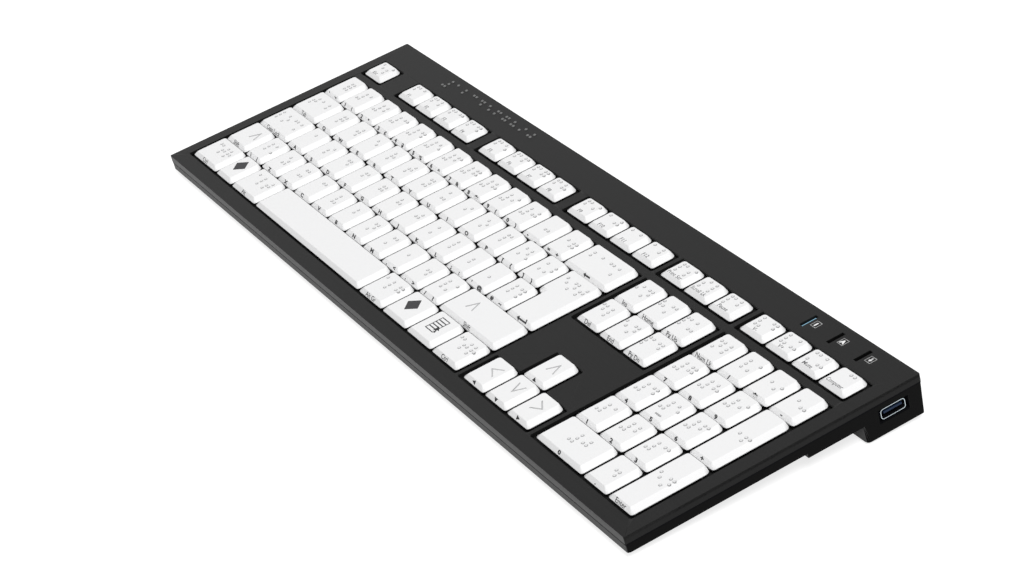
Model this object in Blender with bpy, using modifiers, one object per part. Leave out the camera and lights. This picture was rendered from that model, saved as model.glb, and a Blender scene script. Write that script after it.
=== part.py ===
"""Full-size wired office keyboard with raised braille on its keycaps.

The parts are modelled flat, in the keyboard's own plane: x to the right, y to the rear, z out of the
keys, with zero at the lower edge of the keycaps' slopes and at the front left corner of the letter
block. One empty then tilts the whole keyboard back onto its rubber strips and centres it on the desk.
"""

from math import atan, pi

import bmesh
import bpy
from mathutils import Matrix, Vector

mm = 0.001

# Key grid
KEY_PITCH = 19.05 * mm
KEY_GAP = 0.9 * mm
ROW_COUNT = 5
MAIN_UNITS = 15
NAV_UNITS = 3
PAD_UNITS = 4
NAV_GAP = 5.13 * mm
PAD_GAP = 5.44 * mm
FUNCTION_GAP = 4.85 * mm
FUNCTION_DEPTH = 14.2 * mm

# Keycap
CAP_HEIGHT = 2.1 * mm
CAP_SKIRT = 0.9 * mm
CAP_SIDE_SLOPE = 2.9 * mm
CAP_FRONT_SLOPE = 1.7 * mm
CAP_REAR_SLOPE = 0.7 * mm
CAP_FUNCTION_SLOPE = 1.9 * mm
CAP_FUNCTION_REAR_SLOPE = 1.7 * mm
CAP_CORNER = 1.5 * mm
CAP_ROOF = 1.3 * mm
CAP_WALL = 1.0 * mm
PLUNGER_WIDTH = 5.0 * mm
GUIDE_WIDTH = 3.0 * mm
LONG_KEY_UNITS = 1.9
WEB_WIDTH = 4.0 * mm
WEB_THICKNESS = 0.4 * mm
WEB_BITE = 0.5 * mm
KEY_TRAVEL = 2.0 * mm

# Raised marks
DOT_DIAMETER = 1.6 * mm
DOT_HEIGHT = 0.5 * mm
DOT_SPACING = 2.5 * mm
DOT_SIDES = 4
CELL_PITCH = 7.0 * mm
CELL_PITCH_TIGHT = 6.2 * mm
GROUP_SHIFT_X = 0.5 * mm
SINGLE_SHIFT_X = 0.9 * mm
TEXT_SHIFT_Y = 0.5 * mm
BOTTOM_ROW_SHIFT_Y = 1.5 * mm
CHEVRON_HALF_WIDTH = 3.0 * mm
CHEVRON_LENGTH = 6.2 * mm
CHEVRON_SIDE_HALF_WIDTH = 3.3 * mm
CHEVRON_SIDE_LENGTH = 5.8 * mm
CHEVRON_SHIFT_X = 1.5 * mm
CHEVRON_SHIFT_Y = 1.2 * mm
SHIFT_CHEVRON_INSET = 14.8 * mm
CHEVRON_STROKE = 0.8 * mm
CHEVRON_HEIGHT = 0.4 * mm
HOMING_BAR_LENGTH = 4.0 * mm
HOMING_BAR_WIDTH = 0.7 * mm
HOMING_BAR_INSET = 1.9 * mm

# Covers
LEFT_MARGIN = 8.9 * mm
RIGHT_MARGIN = 7.6 * mm
FRONT_MARGIN = 8.85 * mm
REAR_MARGIN = 17.3 * mm
BEZEL_DROP = 0.5 * mm
BEZEL_THICKNESS = 1.5 * mm
TOP_WALL = 1.5 * mm
TOP_WALL_HEIGHT = 3.1 * mm
CASE_CORNER = 0.6 * mm
CASE_CORNER_STEPS = 2
CASE_EDGE = 0.5 * mm
WELL_MARGIN = 0.55 * mm
WELL_CORNER = 1.0 * mm
RIB_WIDTH = 1.6 * mm
SEAM = 0.3 * mm
LIP_HEIGHT = 1.5 * mm
LIP_WALL = 0.8 * mm
BOTTOM_WALL = 2.8 * mm
FLOOR = 1.6 * mm
FRONT_WALL_HEIGHT = 4.75 * mm
BELLY_DEPTH = 2.1 * mm
BELLY_INSET = 6.0 * mm
BELLY_LENGTH = 27.1 * mm
BAR_LENGTH = 29.1 * mm
BAR_DEPTH = 8.65 * mm
BAR_WALL = 1.8 * mm
BAR_DRAFT = 1.0 * mm
BAR_CORNER = 1.8 * mm
BAR_CORNER_STEPS = 3
UNDER_EDGE = 0.35 * mm

# Keyswitch layers, from the keycaps down
FIT = 0.3 * mm
FRAME_THICKNESS = 0.8 * mm
FRAME_DROP = 0.5 * mm
FRAME_RIM = 1.2 * mm
FRAME_REAR = 2.3 * mm
PLUNGER_TIP = 0.2 * mm
DOME_HEIGHT = 1.9 * mm
DOME_BASE = 6.0 * mm
DOME_TOP = 3.4 * mm
SHEET_THICKNESS = 0.4 * mm
MEMBRANE_THICKNESS = 0.3 * mm
PLATE_THICKNESS = 0.5 * mm
SHEET_INSET = 1.0 * mm

# Lamps at the top right
LAMP_COUNT = 3
LAMP_START = 18.55 * mm
LAMP_SLOT_WIDTH = 1.8 * mm
LAMP_SLOT_LENGTH = 7.9 * mm
LAMP_SLOT_REAR = 3.6 * mm
LAMP_DEPTH = 1.1 * mm
LAMP_WEB = 0.8 * mm
LAMP_LEG = 3.0 * mm

# Controller board and the USB socket in the right end of the rear bar
BOARD_LENGTH = 84.0 * mm
BOARD_THICKNESS = 1.6 * mm
BOARD_MARGIN = 1.8 * mm
BOARD_STANDOFF = 2.5 * mm
BOSS_RADIUS = 2.5 * mm
BOSS_INSET = 5.0 * mm
BOSS_SIDES = 8
CHIP_WIDTH = 9.0 * mm
CHIP_HEIGHT = 1.0 * mm
LED_WIDTH = 1.6 * mm
LED_LENGTH = 3.2 * mm
LED_HEIGHT = 0.8 * mm
USB_WIDTH = 13.2 * mm
USB_HEIGHT = 5.6 * mm
USB_LENGTH = 14.0 * mm
USB_SHEET = 0.35 * mm
USB_CORNER = 1.2 * mm
USB_CORNER_STEPS = 2
USB_RECESS = 0.7 * mm
USB_MARGIN_Y = 0.85 * mm
USB_MARGIN_Z = 0.45 * mm
USB_CLEARANCE = 0.35 * mm
USB_TONGUE_THICKNESS = 1.7 * mm
USB_TONGUE_GAP = 0.5 * mm
USB_TONGUE_SIDE = 0.7 * mm
USB_TONGUE_SETBACK = 1.2 * mm
USB_BLOCK_LENGTH = 3.5 * mm

# Cord gland in the rear wall
GLAND_BORE = 2.0 * mm
GLAND_NECK = 3.0 * mm
GLAND_FLANGE = 4.0 * mm
GLAND_FLANGE_THICKNESS = 1.2 * mm
GLAND_STEPS = 16

# Rubber strips that the keyboard stands on
FRONT_STRIP_INSET = 12.6 * mm
REAR_STRIP_INSET = 5.4 * mm
FRONT_STRIP_PROUD = 1.84 * mm
REAR_STRIP_PROUD = 1.0 * mm
STRIP_WIDTH = 7.0 * mm
STRIP_END_INSET = 45.0 * mm

# Cutters run past the faces that they cut by this much
OVERRUN = 1.0 * mm

# Positions that follow from the sizes above
MAIN_WIDTH = MAIN_UNITS * KEY_PITCH
NAV_LEFT = MAIN_WIDTH + NAV_GAP
PAD_LEFT = NAV_LEFT + NAV_UNITS * KEY_PITCH + PAD_GAP
PAD_RIGHT = PAD_LEFT + PAD_UNITS * KEY_PITCH
MAIN_REAR = ROW_COUNT * KEY_PITCH
FUNCTION_FRONT = MAIN_REAR + FUNCTION_GAP
FUNCTION_REAR = FUNCTION_FRONT + FUNCTION_DEPTH
FUNCTION_MIDDLE = (FUNCTION_FRONT + FUNCTION_REAR) / 2

CASE_LEFT = -LEFT_MARGIN
CASE_RIGHT = PAD_RIGHT + RIGHT_MARGIN
CASE_FRONT = -FRONT_MARGIN
CASE_REAR = FUNCTION_REAR + REAR_MARGIN
BAR_START = CASE_REAR - BAR_LENGTH
BELLY_START = BAR_START - BELLY_LENGTH
FRONT_STRIP_Y = CASE_FRONT + FRONT_STRIP_INSET
REAR_STRIP_Y = BAR_START + REAR_STRIP_INSET
BEZEL_TOP = -BEZEL_DROP
BEZEL_UNDERSIDE = BEZEL_TOP - BEZEL_THICKNESS
TOP_COVER_BOTTOM = BEZEL_TOP - TOP_WALL_HEIGHT
BOTTOM_COVER_TOP = TOP_COVER_BOTTOM - SEAM
RIM_BOTTOM = BOTTOM_COVER_TOP - FRONT_WALL_HEIGHT
BELLY_BOTTOM = RIM_BOTTOM - BELLY_DEPTH
BAR_BOTTOM = BELLY_BOTTOM - BAR_DEPTH
SHELF = RIM_BOTTOM + FLOOR
BELLY_FLOOR = BELLY_BOTTOM + FLOOR
BAR_FLOOR = BAR_BOTTOM + FLOOR
BAR_REAR = CASE_REAR - BAR_DRAFT
INNER_LEFT = CASE_LEFT + BOTTOM_WALL
INNER_RIGHT = CASE_RIGHT - BOTTOM_WALL
INNER_FRONT = CASE_FRONT + BOTTOM_WALL

FRAME_TOP = -CAP_SKIRT - KEY_TRAVEL - FRAME_DROP
FRAME_BOTTOM = FRAME_TOP - FRAME_THICKNESS
PLUNGER_BOTTOM = FRAME_BOTTOM - PLUNGER_TIP
DOME_TIP = PLUNGER_BOTTOM - FIT
SHEET_TOP = DOME_TIP - DOME_HEIGHT
SHEET_BOTTOM = SHEET_TOP - SHEET_THICKNESS
MEMBRANE_TOP = SHEET_BOTTOM - FIT
PLATE_TOP = MEMBRANE_TOP - MEMBRANE_THICKNESS - FIT
SHEET_REAR = FUNCTION_MIDDLE + DOME_BASE / 2

USB_Y = SHEET_REAR + USB_CLEARANCE + USB_WIDTH / 2
BOARD_TOP = BAR_FLOOR + BOARD_STANDOFF + BOARD_THICKNESS + FIT
BOARD_BOTTOM = BOARD_TOP - BOARD_THICKNESS
BOARD_RIGHT = INNER_RIGHT - FIT
BOARD_LEFT = BOARD_RIGHT - BOARD_LENGTH
BOARD_FRONT = BAR_START + BAR_WALL + BOARD_MARGIN
BOARD_REAR = BAR_REAR - BAR_WALL - BOARD_MARGIN
USB_BOTTOM = BOARD_TOP + FIT
USB_TOP = USB_BOTTOM + USB_HEIGHT
USB_RIGHT = CASE_RIGHT - USB_RECESS
USB_LEFT = USB_RIGHT - USB_LENGTH
LAMP_REAR = CASE_REAR - LAMP_SLOT_REAR
LAMP_FRONT = LAMP_REAR - LAMP_SLOT_LENGTH
LAMP_MIDDLE = (LAMP_FRONT + LAMP_REAR) / 2
GLAND_X = (CASE_LEFT + CASE_RIGHT) / 2
GLAND_Z = BAR_FLOOR + GLAND_FLANGE + 2 * FIT

FRONT_STRIP_BOTTOM = BELLY_BOTTOM - FRONT_STRIP_PROUD
REAR_STRIP_BOTTOM = BAR_BOTTOM - REAR_STRIP_PROUD
DESK_SLOPE = (FRONT_STRIP_BOTTOM - REAR_STRIP_BOTTOM) / (REAR_STRIP_Y - FRONT_STRIP_Y)

# Braille cells by their dot numbers
LETTER_DOTS = dict(zip("abcdefghijklmnopqrstuvwxyz", (
    "1", "12", "14", "145", "15", "124", "1245", "125", "24", "245", "13", "123", "134", "1345",
    "135", "1234", "12345", "1235", "234", "2345", "136", "1236", "2456", "1346", "13456", "1356")))
SIGN_DOTS = {
    "`": ["123456"], "-": ["36"], "=": ["5", "2356"], "[": ["46", "126"], "]": ["46", "345"],
    ";": ["23"], "'": ["3"], "#": ["456", "1456"], "\\": ["456", "16"], ",": ["2"], ".": ["256"],
    "/": ["456", "34"], "*": ["5", "35"], "minus": ["5", "36"], "+": ["5", "235"]}
NUMBER_SIGN = "3456"
ARROWS = {"up": (0, 1), "down": (0, -1), "left": (-1, 0), "right": (1, 0)}

# Rows of the letter block from the front, each key as its node, its width in units and its marks
BOTTOM_ROW = [
    ("left_modifier_keys", 1.5, "ctr"), ("left_modifier_keys", 1, ""), ("left_modifier_keys", 1.5, "alt"),
    ("space_bar", 6, ""), ("right_modifier_keys", 1.25, "alg"), ("right_modifier_keys", 1.25, ""),
    ("right_modifier_keys", 1.25, ""), ("right_modifier_keys", 1.25, "ctr")]
SHIFT_ROW = (
    [("left_shift_key", 1.25, "up"), ("backslash_key", 1, "\\")]
    + [("key_" + letter, 1, letter) for letter in "zxcvbnm"]
    + [("punctuation_keys", 1, sign) for sign in ",./"]
    + [("right_shift_key", 2.75, "up")])
HOME_ROW = (
    [("caps_lock_key", 1.75, "lock")]
    + [("key_" + letter, 1, letter) for letter in "asdfghjkl"]
    + [("punctuation_keys", 1, sign) for sign in ";'#"])
UPPER_ROW = (
    [("tab_key", 1.5, "tab")]
    + [("key_" + letter, 1, letter) for letter in "qwertyuiop"]
    + [("punctuation_keys", 1, sign) for sign in "[]"])
NUMBER_ROW = (
    [("number_row_keys", 1, sign) for sign in "`1234567890-="]
    + [("backspace_key", 2, "back")])
MAIN_ROWS = [BOTTOM_ROW, SHIFT_ROW, HOME_ROW, UPPER_ROW, NUMBER_ROW]
ENTER_UPPER_UNITS = 1.5
ENTER_LOWER_UNITS = 1.25
ENTER_FRONT_ROW = 2

# Keys beside the letter block as node, column, row, width, depth and marks, in units
NAV_KEYS = [
    ("navigation_keys", 0, 4, 1, 1, "in"), ("navigation_keys", 1, 4, 1, 1, "hm"),
    ("navigation_keys", 2, 4, 1, 1, "pu"), ("navigation_keys", 0, 3, 1, 1, "dl"),
    ("navigation_keys", 1, 3, 1, 1, "en"), ("navigation_keys", 2, 3, 1, 1, "pd"),
    ("arrow_keys", 1, 1, 1, 1, "up"), ("arrow_keys", 0, 0, 1, 1, "left"),
    ("arrow_keys", 1, 0, 1, 1, "down"), ("arrow_keys", 2, 0, 1, 1, "right")]
PAD_KEYS = [
    ("numpad_keys", 0, 4, 1, 1, "nl"), ("numpad_keys", 1, 4, 1, 1, "/"),
    ("numpad_keys", 2, 4, 1, 1, "*"), ("numpad_keys", 3, 4, 1, 1, "minus"),
    ("numpad_keys", 0, 3, 1, 1, "7"), ("numpad_keys", 1, 3, 1, 1, "8"),
    ("numpad_keys", 2, 3, 1, 1, "9"), ("numpad_keys", 3, 2, 1, 2, "+"),
    ("numpad_keys", 0, 2, 1, 1, "4"), ("numpad_keys", 1, 2, 1, 1, "5"),
    ("numpad_keys", 2, 2, 1, 1, "6"), ("numpad_keys", 0, 1, 1, 1, "1"),
    ("numpad_keys", 1, 1, 1, 1, "2"), ("numpad_keys", 2, 1, 1, 1, "3"),
    ("numpad_keys", 3, 0, 1, 2, "en"), ("numpad_keys", 0, 0, 2, 1, "0"),
    ("numpad_keys", 2, 0, 1, 1, ".")]
HOMING_MARKS = ("5",)

# Function row groups as node, left edge and marks
FUNCTION_GROUPS = [
    ("escape_key", 0, ["es"]),
    ("f1_to_f4_keys", 2 * KEY_PITCH, ["fa", "fb", "fc", "fd"]),
    ("f5_to_f8_keys", 6.5 * KEY_PITCH, ["fe", "ff", "fg", "fh"]),
    ("f9_to_f12_keys", 11 * KEY_PITCH, ["fi", "aj", "aa", "ab"]),
    ("system_keys", NAV_LEFT, ["ps", "sl", "pb"]),
    ("media_keys", PAD_LEFT, ["vd", "vu", "mu", "c"])]

COVER_COLOUR = (0.035, 0.035, 0.037, 1)
KEY_COLOUR = (0.87, 0.87, 0.88, 1)
STEEL_COLOUR = (0.62, 0.63, 0.65, 1)
BOARD_COLOUR = (0.03, 0.16, 0.08, 1)
RUBBER_COLOUR = (0.02, 0.02, 0.02, 1)
CLEAR_COLOUR = (0.62, 0.78, 0.86, 1)
SILICONE_COLOUR = (0.72, 0.74, 0.76, 1)
FILM_COLOUR = (0.55, 0.62, 0.58, 1)
FRAME_COLOUR = (0.05, 0.05, 0.055, 1)
INSERT_COLOUR = (0.02, 0.03, 0.07, 1)


def clear_scene():
    for obj in list(bpy.data.objects):
        bpy.data.objects.remove(obj)


def new_collection(name):
    collection = bpy.data.collections.new(name)
    bpy.context.scene.collection.children.link(collection)
    return collection


def make_material(name, colour, roughness, metallic=0.0):
    material = bpy.data.materials.new(name)
    material.use_nodes = True
    shader = material.node_tree.nodes["Principled BSDF"]
    shader.inputs["Base Color"].default_value = colour
    shader.inputs["Roughness"].default_value = roughness
    shader.inputs["Metallic"].default_value = metallic
    material.diffuse_color = colour
    return material


def add_box(bm, low, high):
    """A box between two corners, from the cube primitive."""
    low = Vector(low)
    high = Vector(high)
    place = Matrix.Translation((low + high) / 2) @ Matrix.Diagonal((*(high - low), 1))
    return bmesh.ops.create_cube(bm, size=1, matrix=place)["verts"]


def edges_along(verts, axis):
    """The edges among these vertices that run along one axis."""
    chosen = set(verts)
    found = []
    for edge in {edge for vert in verts for edge in vert.link_edges}:
        if edge.verts[0] in chosen and edge.verts[1] in chosen:
            run = edge.verts[1].co - edge.verts[0].co
            if abs(run[axis]) > run.length / 2:
                found.append(edge)
    return found


def cut_edges(bm, edges, width, steps=1):
    """A flat chamfer along the edges, or a rounding in a few steps."""
    return bmesh.ops.bevel(bm, geom=edges, offset=width, offset_type="OFFSET", segments=steps,
                           profile=0.5, affect="EDGES", clamp_overlap=True, material=-1)


def add_plate(bm, low, high, corner):
    """A box whose upright corners are cut."""
    verts = add_box(bm, low, high)
    cut_edges(bm, edges_along(verts, 2), corner)


def add_peg(bm, x, y, bottom, top, radius, sides, top_radius=None):
    """An upright peg or cone from the cone primitive."""
    middle = (bottom + top) / 2
    upper = radius if top_radius is None else top_radius
    bmesh.ops.create_cone(bm, cap_ends=True, segments=sides, radius1=radius, radius2=upper,
                          depth=top - bottom, matrix=Matrix.Translation((x, y, middle)))


def add_prism(bm, outline, left, right):
    """A side outline of y and z points, drawn out along x."""
    corners = [bm.verts.new((left, y, z)) for y, z in outline]
    face = bm.faces.new(corners)
    moved = bmesh.ops.extrude_face_region(bm, geom=[face])["geom"]
    verts = [item for item in moved if isinstance(item, bmesh.types.BMVert)]
    bmesh.ops.translate(bm, verts=verts, vec=(right - left, 0, 0))
    return corners + verts


def add_wall_ring(bm, low, high, wall):
    """A wall that runs round a rectangle, inside it."""
    verts = add_box(bm, low, high)
    caps = {face for vert in verts for face in vert.link_faces if abs(face.normal.z) > 0.5}
    bmesh.ops.delete(bm, geom=list(caps), context="FACES_ONLY")
    sides = list({face for vert in verts for face in vert.link_faces})
    bmesh.ops.solidify(bm, geom=sides, thickness=wall)


def finish(bm, name, collection, tilt, centre=(0, 0, 0), material=None):
    """Turns the bmesh into an object with its origin at the centre given."""
    bmesh.ops.recalc_face_normals(bm, faces=bm.faces)
    bmesh.ops.translate(bm, verts=bm.verts, vec=-Vector(centre))
    mesh = bpy.data.meshes.new(name)
    bm.to_mesh(mesh)
    bm.free()
    obj = bpy.data.objects.new(name, mesh)
    collection.objects.link(obj)
    obj.location = centre
    obj.parent = tilt
    if material:
        mesh.materials.append(material)
    return obj


def boolean(target, other, operation):
    """Cuts or joins the other object, which becomes a hidden tool."""
    modifier = target.modifiers.new(other.name, "BOOLEAN")
    modifier.operation = operation
    modifier.solver = "EXACT"
    modifier.object = other
    other.hide_render = True
    other.display_type = "WIRE"


class Key:
    """One keycap's cell on the grid, with its marks and its place in a node."""

    def __init__(self, node, left, front, width, depth, marks,
                 front_slope=CAP_FRONT_SLOPE, rear_slope=CAP_REAR_SLOPE):
        self.node = node
        self.left = left
        self.front = front
        self.right = left + width
        self.rear = front + depth
        self.marks = marks
        self.front_slope = front_slope
        self.rear_slope = rear_slope
        self.shift_y = TEXT_SHIFT_Y
        self.cell_pitch = CELL_PITCH
        self.step = None

    def middle(self):
        return (self.left + self.right) / 2, (self.front + self.rear) / 2

    def plunger(self):
        """The switch under the key: on a stepped key it is in the full-depth part."""
        x, y = self.middle()
        if self.step:
            x = (self.left + self.step + self.right) / 2
        return x, y

    def posts(self):
        """The plunger, and guide posts near both ends of a long key."""
        x, y = self.plunger()
        spots = [(x, y, PLUNGER_WIDTH)]
        long_x = (self.right - self.left - KEY_PITCH) / 2
        long_y = (self.rear - self.front - KEY_PITCH) / 2
        if self.right - self.left > LONG_KEY_UNITS * KEY_PITCH:
            spots += [(x - long_x, y, GUIDE_WIDTH), (x + long_x, y, GUIDE_WIDTH)]
        if self.rear - self.front > LONG_KEY_UNITS * KEY_PITCH and not self.step:
            spots += [(x, y - long_y, GUIDE_WIDTH), (x, y + long_y, GUIDE_WIDTH)]
        return spots

    def outline(self):
        """Corners of the cap's base, anticlockwise from the front left."""
        gap = KEY_GAP / 2
        left, right = self.left + gap, self.right - gap
        front, rear = self.front + gap, self.rear - gap
        if not self.step:
            return [(left, front), (right, front), (right, rear), (left, rear)]
        step_x = left + self.step
        step_y = (self.front + self.rear) / 2 + gap
        return [(step_x, front), (right, front), (right, rear), (left, rear),
                (left, step_y), (step_x, step_y)]


def all_keys():
    keys = []
    for row, entries in enumerate(MAIN_ROWS):
        left = 0
        for node, units, marks in entries:
            key = Key(node, left, row * KEY_PITCH, units * KEY_PITCH, KEY_PITCH, marks)
            if entries is BOTTOM_ROW:
                key.shift_y = BOTTOM_ROW_SHIFT_Y
                key.cell_pitch = CELL_PITCH_TIGHT
            keys.append(key)
            left += units * KEY_PITCH
    enter = Key("enter_key", MAIN_WIDTH - ENTER_UPPER_UNITS * KEY_PITCH, ENTER_FRONT_ROW * KEY_PITCH,
                ENTER_UPPER_UNITS * KEY_PITCH, 2 * KEY_PITCH, "ent")
    enter.step = (ENTER_UPPER_UNITS - ENTER_LOWER_UNITS) * KEY_PITCH
    enter.shift_y = TEXT_SHIFT_Y + KEY_PITCH / 2
    keys.append(enter)
    for block_left, entries in ((NAV_LEFT, NAV_KEYS), (PAD_LEFT, PAD_KEYS)):
        for node, column, row, width, depth, marks in entries:
            keys.append(Key(node, block_left + column * KEY_PITCH, row * KEY_PITCH,
                            width * KEY_PITCH, depth * KEY_PITCH, marks))
    for node, left, marks_list in FUNCTION_GROUPS:
        for place, marks in enumerate(marks_list):
            keys.append(Key(node, left + place * KEY_PITCH, FUNCTION_FRONT, KEY_PITCH,
                            FUNCTION_DEPTH, marks, CAP_FUNCTION_SLOPE, CAP_FUNCTION_REAR_SLOPE))
    return keys


def braille_cells(marks):
    """The dot numbers of each cell in the text."""
    if marks in SIGN_DOTS:
        return SIGN_DOTS[marks]
    if marks.isdigit():
        return [NUMBER_SIGN, LETTER_DOTS["jabcdefghi"[int(marks)]]]
    return [LETTER_DOTS[letter] for letter in marks]


def dot_places(key):
    """Centres of the raised dots, columns along x and dots 1 to 3 from the rear."""
    x, y = key.middle()
    cells = braille_cells(key.marks)
    y += key.shift_y
    x += SINGLE_SHIFT_X if len(cells) == 1 else GROUP_SHIFT_X
    first = x - (len(cells) - 1) * key.cell_pitch / 2
    for place, dots in enumerate(cells):
        for dot in dots:
            column, row = divmod(int(dot) - 1, 3)
            yield (first + place * key.cell_pitch + (column - 1 / 2) * DOT_SPACING,
                   y + (1 - row) * DOT_SPACING)


def inward(corners, place, key):
    """How far the slopes carry one corner of the base in towards the flat top."""
    move_x, move_y = 0, 0
    for start, end in ((corners[place - 1], corners[place]), (corners[place], corners[(place + 1) % len(corners)])):
        run_x, run_y = end[0] - start[0], end[1] - start[1]
        if abs(run_x) > abs(run_y):
            move_y = key.front_slope if run_x > 0 else -key.rear_slope
        else:
            move_x = -CAP_SIDE_SLOPE if run_y > 0 else CAP_SIDE_SLOPE
    return Vector((move_x, move_y, 0))


def add_cap(bm, key):
    """The outer form of one keycap: skirt, slopes and flat top, with its corners cut."""
    corners = key.outline()
    base = [bm.verts.new((x, y, -CAP_SKIRT)) for x, y in corners]
    bm.faces.new(base)
    cut = bmesh.ops.bevel(bm, geom=base, offset=CAP_CORNER, offset_type="OFFSET", segments=1,
                          profile=0.5, affect="VERTICES", clamp_overlap=True, material=-1)
    bottom = face = cut["verts"][0].link_faces[0]
    for height in (0, CAP_HEIGHT):
        grown = bmesh.ops.extrude_face_region(bm, geom=[face])["geom"]
        if face is not bottom:
            bmesh.ops.delete(bm, geom=[face], context="FACES_ONLY")
        face = next(item for item in grown if isinstance(item, bmesh.types.BMFace))
        for vert in face.verts:
            vert.co.z = height
    for vert in face.verts:
        place = min(range(len(corners)), key=lambda i: (vert.co.xy - Vector(corners[i])).length)
        vert.co += inward(corners, place, key)


def add_hollow(bm, key):
    """The space inside one keycap, which leaves its walls and roof."""
    roof = CAP_HEIGHT - CAP_ROOF
    taper = roof / CAP_HEIGHT
    side = KEY_GAP / 2 + CAP_SIDE_SLOPE * taper + CAP_WALL
    front = key.front + KEY_GAP / 2 + key.front_slope * taper + CAP_WALL
    rear = key.rear - KEY_GAP / 2 - key.rear_slope * taper - CAP_WALL
    left = key.left + (key.step or 0) + side
    add_box(bm, (left, front, -CAP_SKIRT - OVERRUN), (key.right - side, rear, roof))


def add_marks(bm, key):
    """Raised braille dots, a chevron or nothing."""
    sunk = CAP_HEIGHT - DOT_HEIGHT / 2
    if key.marks in ARROWS:
        add_chevron(bm, key, ARROWS[key.marks])
    elif key.marks:
        for x, y in dot_places(key):
            add_peg(bm, x, y, sunk, CAP_HEIGHT + DOT_HEIGHT, DOT_DIAMETER * 3 / 4, DOT_SIDES, 0)
    if key.marks in HOMING_MARKS and key.node == "numpad_keys":
        x, _ = key.middle()
        y = key.front + KEY_GAP / 2 + key.front_slope + HOMING_BAR_INSET
        add_box(bm, (x - HOMING_BAR_LENGTH / 2, y - HOMING_BAR_WIDTH / 2, sunk),
                (x + HOMING_BAR_LENGTH / 2, y + HOMING_BAR_WIDTH / 2, CAP_HEIGHT + CHEVRON_HEIGHT))


def add_chevron(bm, key, heading):
    """An open arrow head in one outline, drawn upwards from just inside the cap's top."""
    x, y = key.middle()
    if key.node in ("left_shift_key", "right_shift_key"):
        x = key.left + SHIFT_CHEVRON_INSET
    sideways = abs(heading[0]) > abs(heading[1])
    length = CHEVRON_SIDE_LENGTH if sideways else CHEVRON_LENGTH
    half_width = CHEVRON_SIDE_HALF_WIDTH if sideways else CHEVRON_HALF_WIDTH
    ahead = Vector((*heading, 0))
    across = Vector((-heading[1], heading[0], 0))
    centre = Vector((x + CHEVRON_SHIFT_X, y + CHEVRON_SHIFT_Y, 0))
    tip = centre + ahead * length / 2
    tail = centre - ahead * length / 2
    inner = ahead * CHEVRON_STROKE * 2
    slim = across * CHEVRON_STROKE
    outline = [tip, tail + across * half_width, tail + across * half_width - slim,
               tip - inner, tail - across * half_width + slim, tail - across * half_width]
    low = CAP_HEIGHT - DOT_HEIGHT / 2
    verts = [bm.verts.new((point.x, point.y, low)) for point in outline]
    face = bm.faces.new(verts)
    grown = bmesh.ops.extrude_face_region(bm, geom=[face])["geom"]
    raised = [item for item in grown if isinstance(item, bmesh.types.BMVert)]
    bmesh.ops.translate(bm, verts=raised, vec=(0, 0, CHEVRON_HEIGHT + DOT_HEIGHT / 2))


def add_posts(bm, key):
    """The plunger and any guide posts, from the cap's roof down through the frame."""
    root = CAP_HEIGHT - CAP_ROOF / 2
    for x, y, width in key.posts():
        half = width / 2
        add_box(bm, (x - half, y - half, PLUNGER_BOTTOM), (x + half, y + half, root))


def shared_edge(one, two):
    """The middle of the side where two cells touch, and the axis across it, if they touch."""
    low_x, high_x = max(one.left, two.left), min(one.right, two.right)
    low_y, high_y = max(one.front, two.front), min(one.rear, two.rear)
    near = KEY_GAP / 2
    if abs(high_x - low_x) < near and high_y - low_y > WEB_WIDTH * 3 / 2:
        return (low_x + high_x) / 2, (low_y + high_y) / 2, 0
    if abs(high_y - low_y) < near and high_x - low_x > WEB_WIDTH * 3 / 2:
        return (low_x + high_x) / 2, (low_y + high_y) / 2, 1
    return None


def add_webs(bm, keys):
    """Short webs between the skirts, just enough to hold a group of keys together."""
    groups = {id(key): {id(key)} for key in keys}
    reach = KEY_GAP / 2 + WEB_BITE
    for place, one in enumerate(keys):
        for two in keys[place + 1:]:
            edge = shared_edge(one, two)
            if not edge or groups[id(one)] is groups[id(two)]:
                continue
            x, y, across = edge
            half_x, half_y = (reach, WEB_WIDTH / 2) if across == 0 else (WEB_WIDTH / 2, reach)
            add_box(bm, (x - half_x, y - half_y, -CAP_SKIRT + WEB_THICKNESS / 4),
                    (x + half_x, y + half_y, -CAP_SKIRT + WEB_THICKNESS * 5 / 4))
            joined = groups[id(one)] | groups[id(two)]
            for member in joined:
                groups[member] = joined


def build_keys(keys, parts, tools, tilt, material):
    """One object for each key node: its caps, hollowed, with posts, webs and raised marks."""
    nodes = {}
    for key in keys:
        nodes.setdefault(key.node, []).append(key)
    for node, members in nodes.items():
        caps, hollows, fittings = bmesh.new(), bmesh.new(), bmesh.new()
        for key in members:
            add_cap(caps, key)
            add_hollow(hollows, key)
            add_marks(fittings, key)
            add_posts(fittings, key)
        add_webs(fittings, members)
        x = sum(key.middle()[0] for key in members) / len(members)
        y = sum(key.middle()[1] for key in members) / len(members)
        centre = (x, y, 0)
        cap = finish(caps, node, parts, tilt, centre, material)
        boolean(cap, finish(hollows, node + "_hollow", tools, tilt, centre), "DIFFERENCE")
        boolean(cap, finish(fittings, node + "_fittings", tools, tilt, centre), "UNION")


def well_boxes():
    """Left, front, right and rear of each opening in the top cover."""
    wells = [(0, 0, MAIN_WIDTH, MAIN_REAR), (PAD_LEFT, 0, PAD_RIGHT, MAIN_REAR),
             (NAV_LEFT, 0, NAV_LEFT + NAV_UNITS * KEY_PITCH, KEY_PITCH),
             (NAV_LEFT, 3 * KEY_PITCH, NAV_LEFT + NAV_UNITS * KEY_PITCH, MAIN_REAR)]
    for _, left, marks in FUNCTION_GROUPS:
        wells.append((left, FUNCTION_FRONT, left + len(marks) * KEY_PITCH, FUNCTION_REAR))
    return wells


def lamp_centres():
    return [PAD_LEFT + LAMP_START + place * KEY_PITCH for place in range(LAMP_COUNT)]


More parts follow.
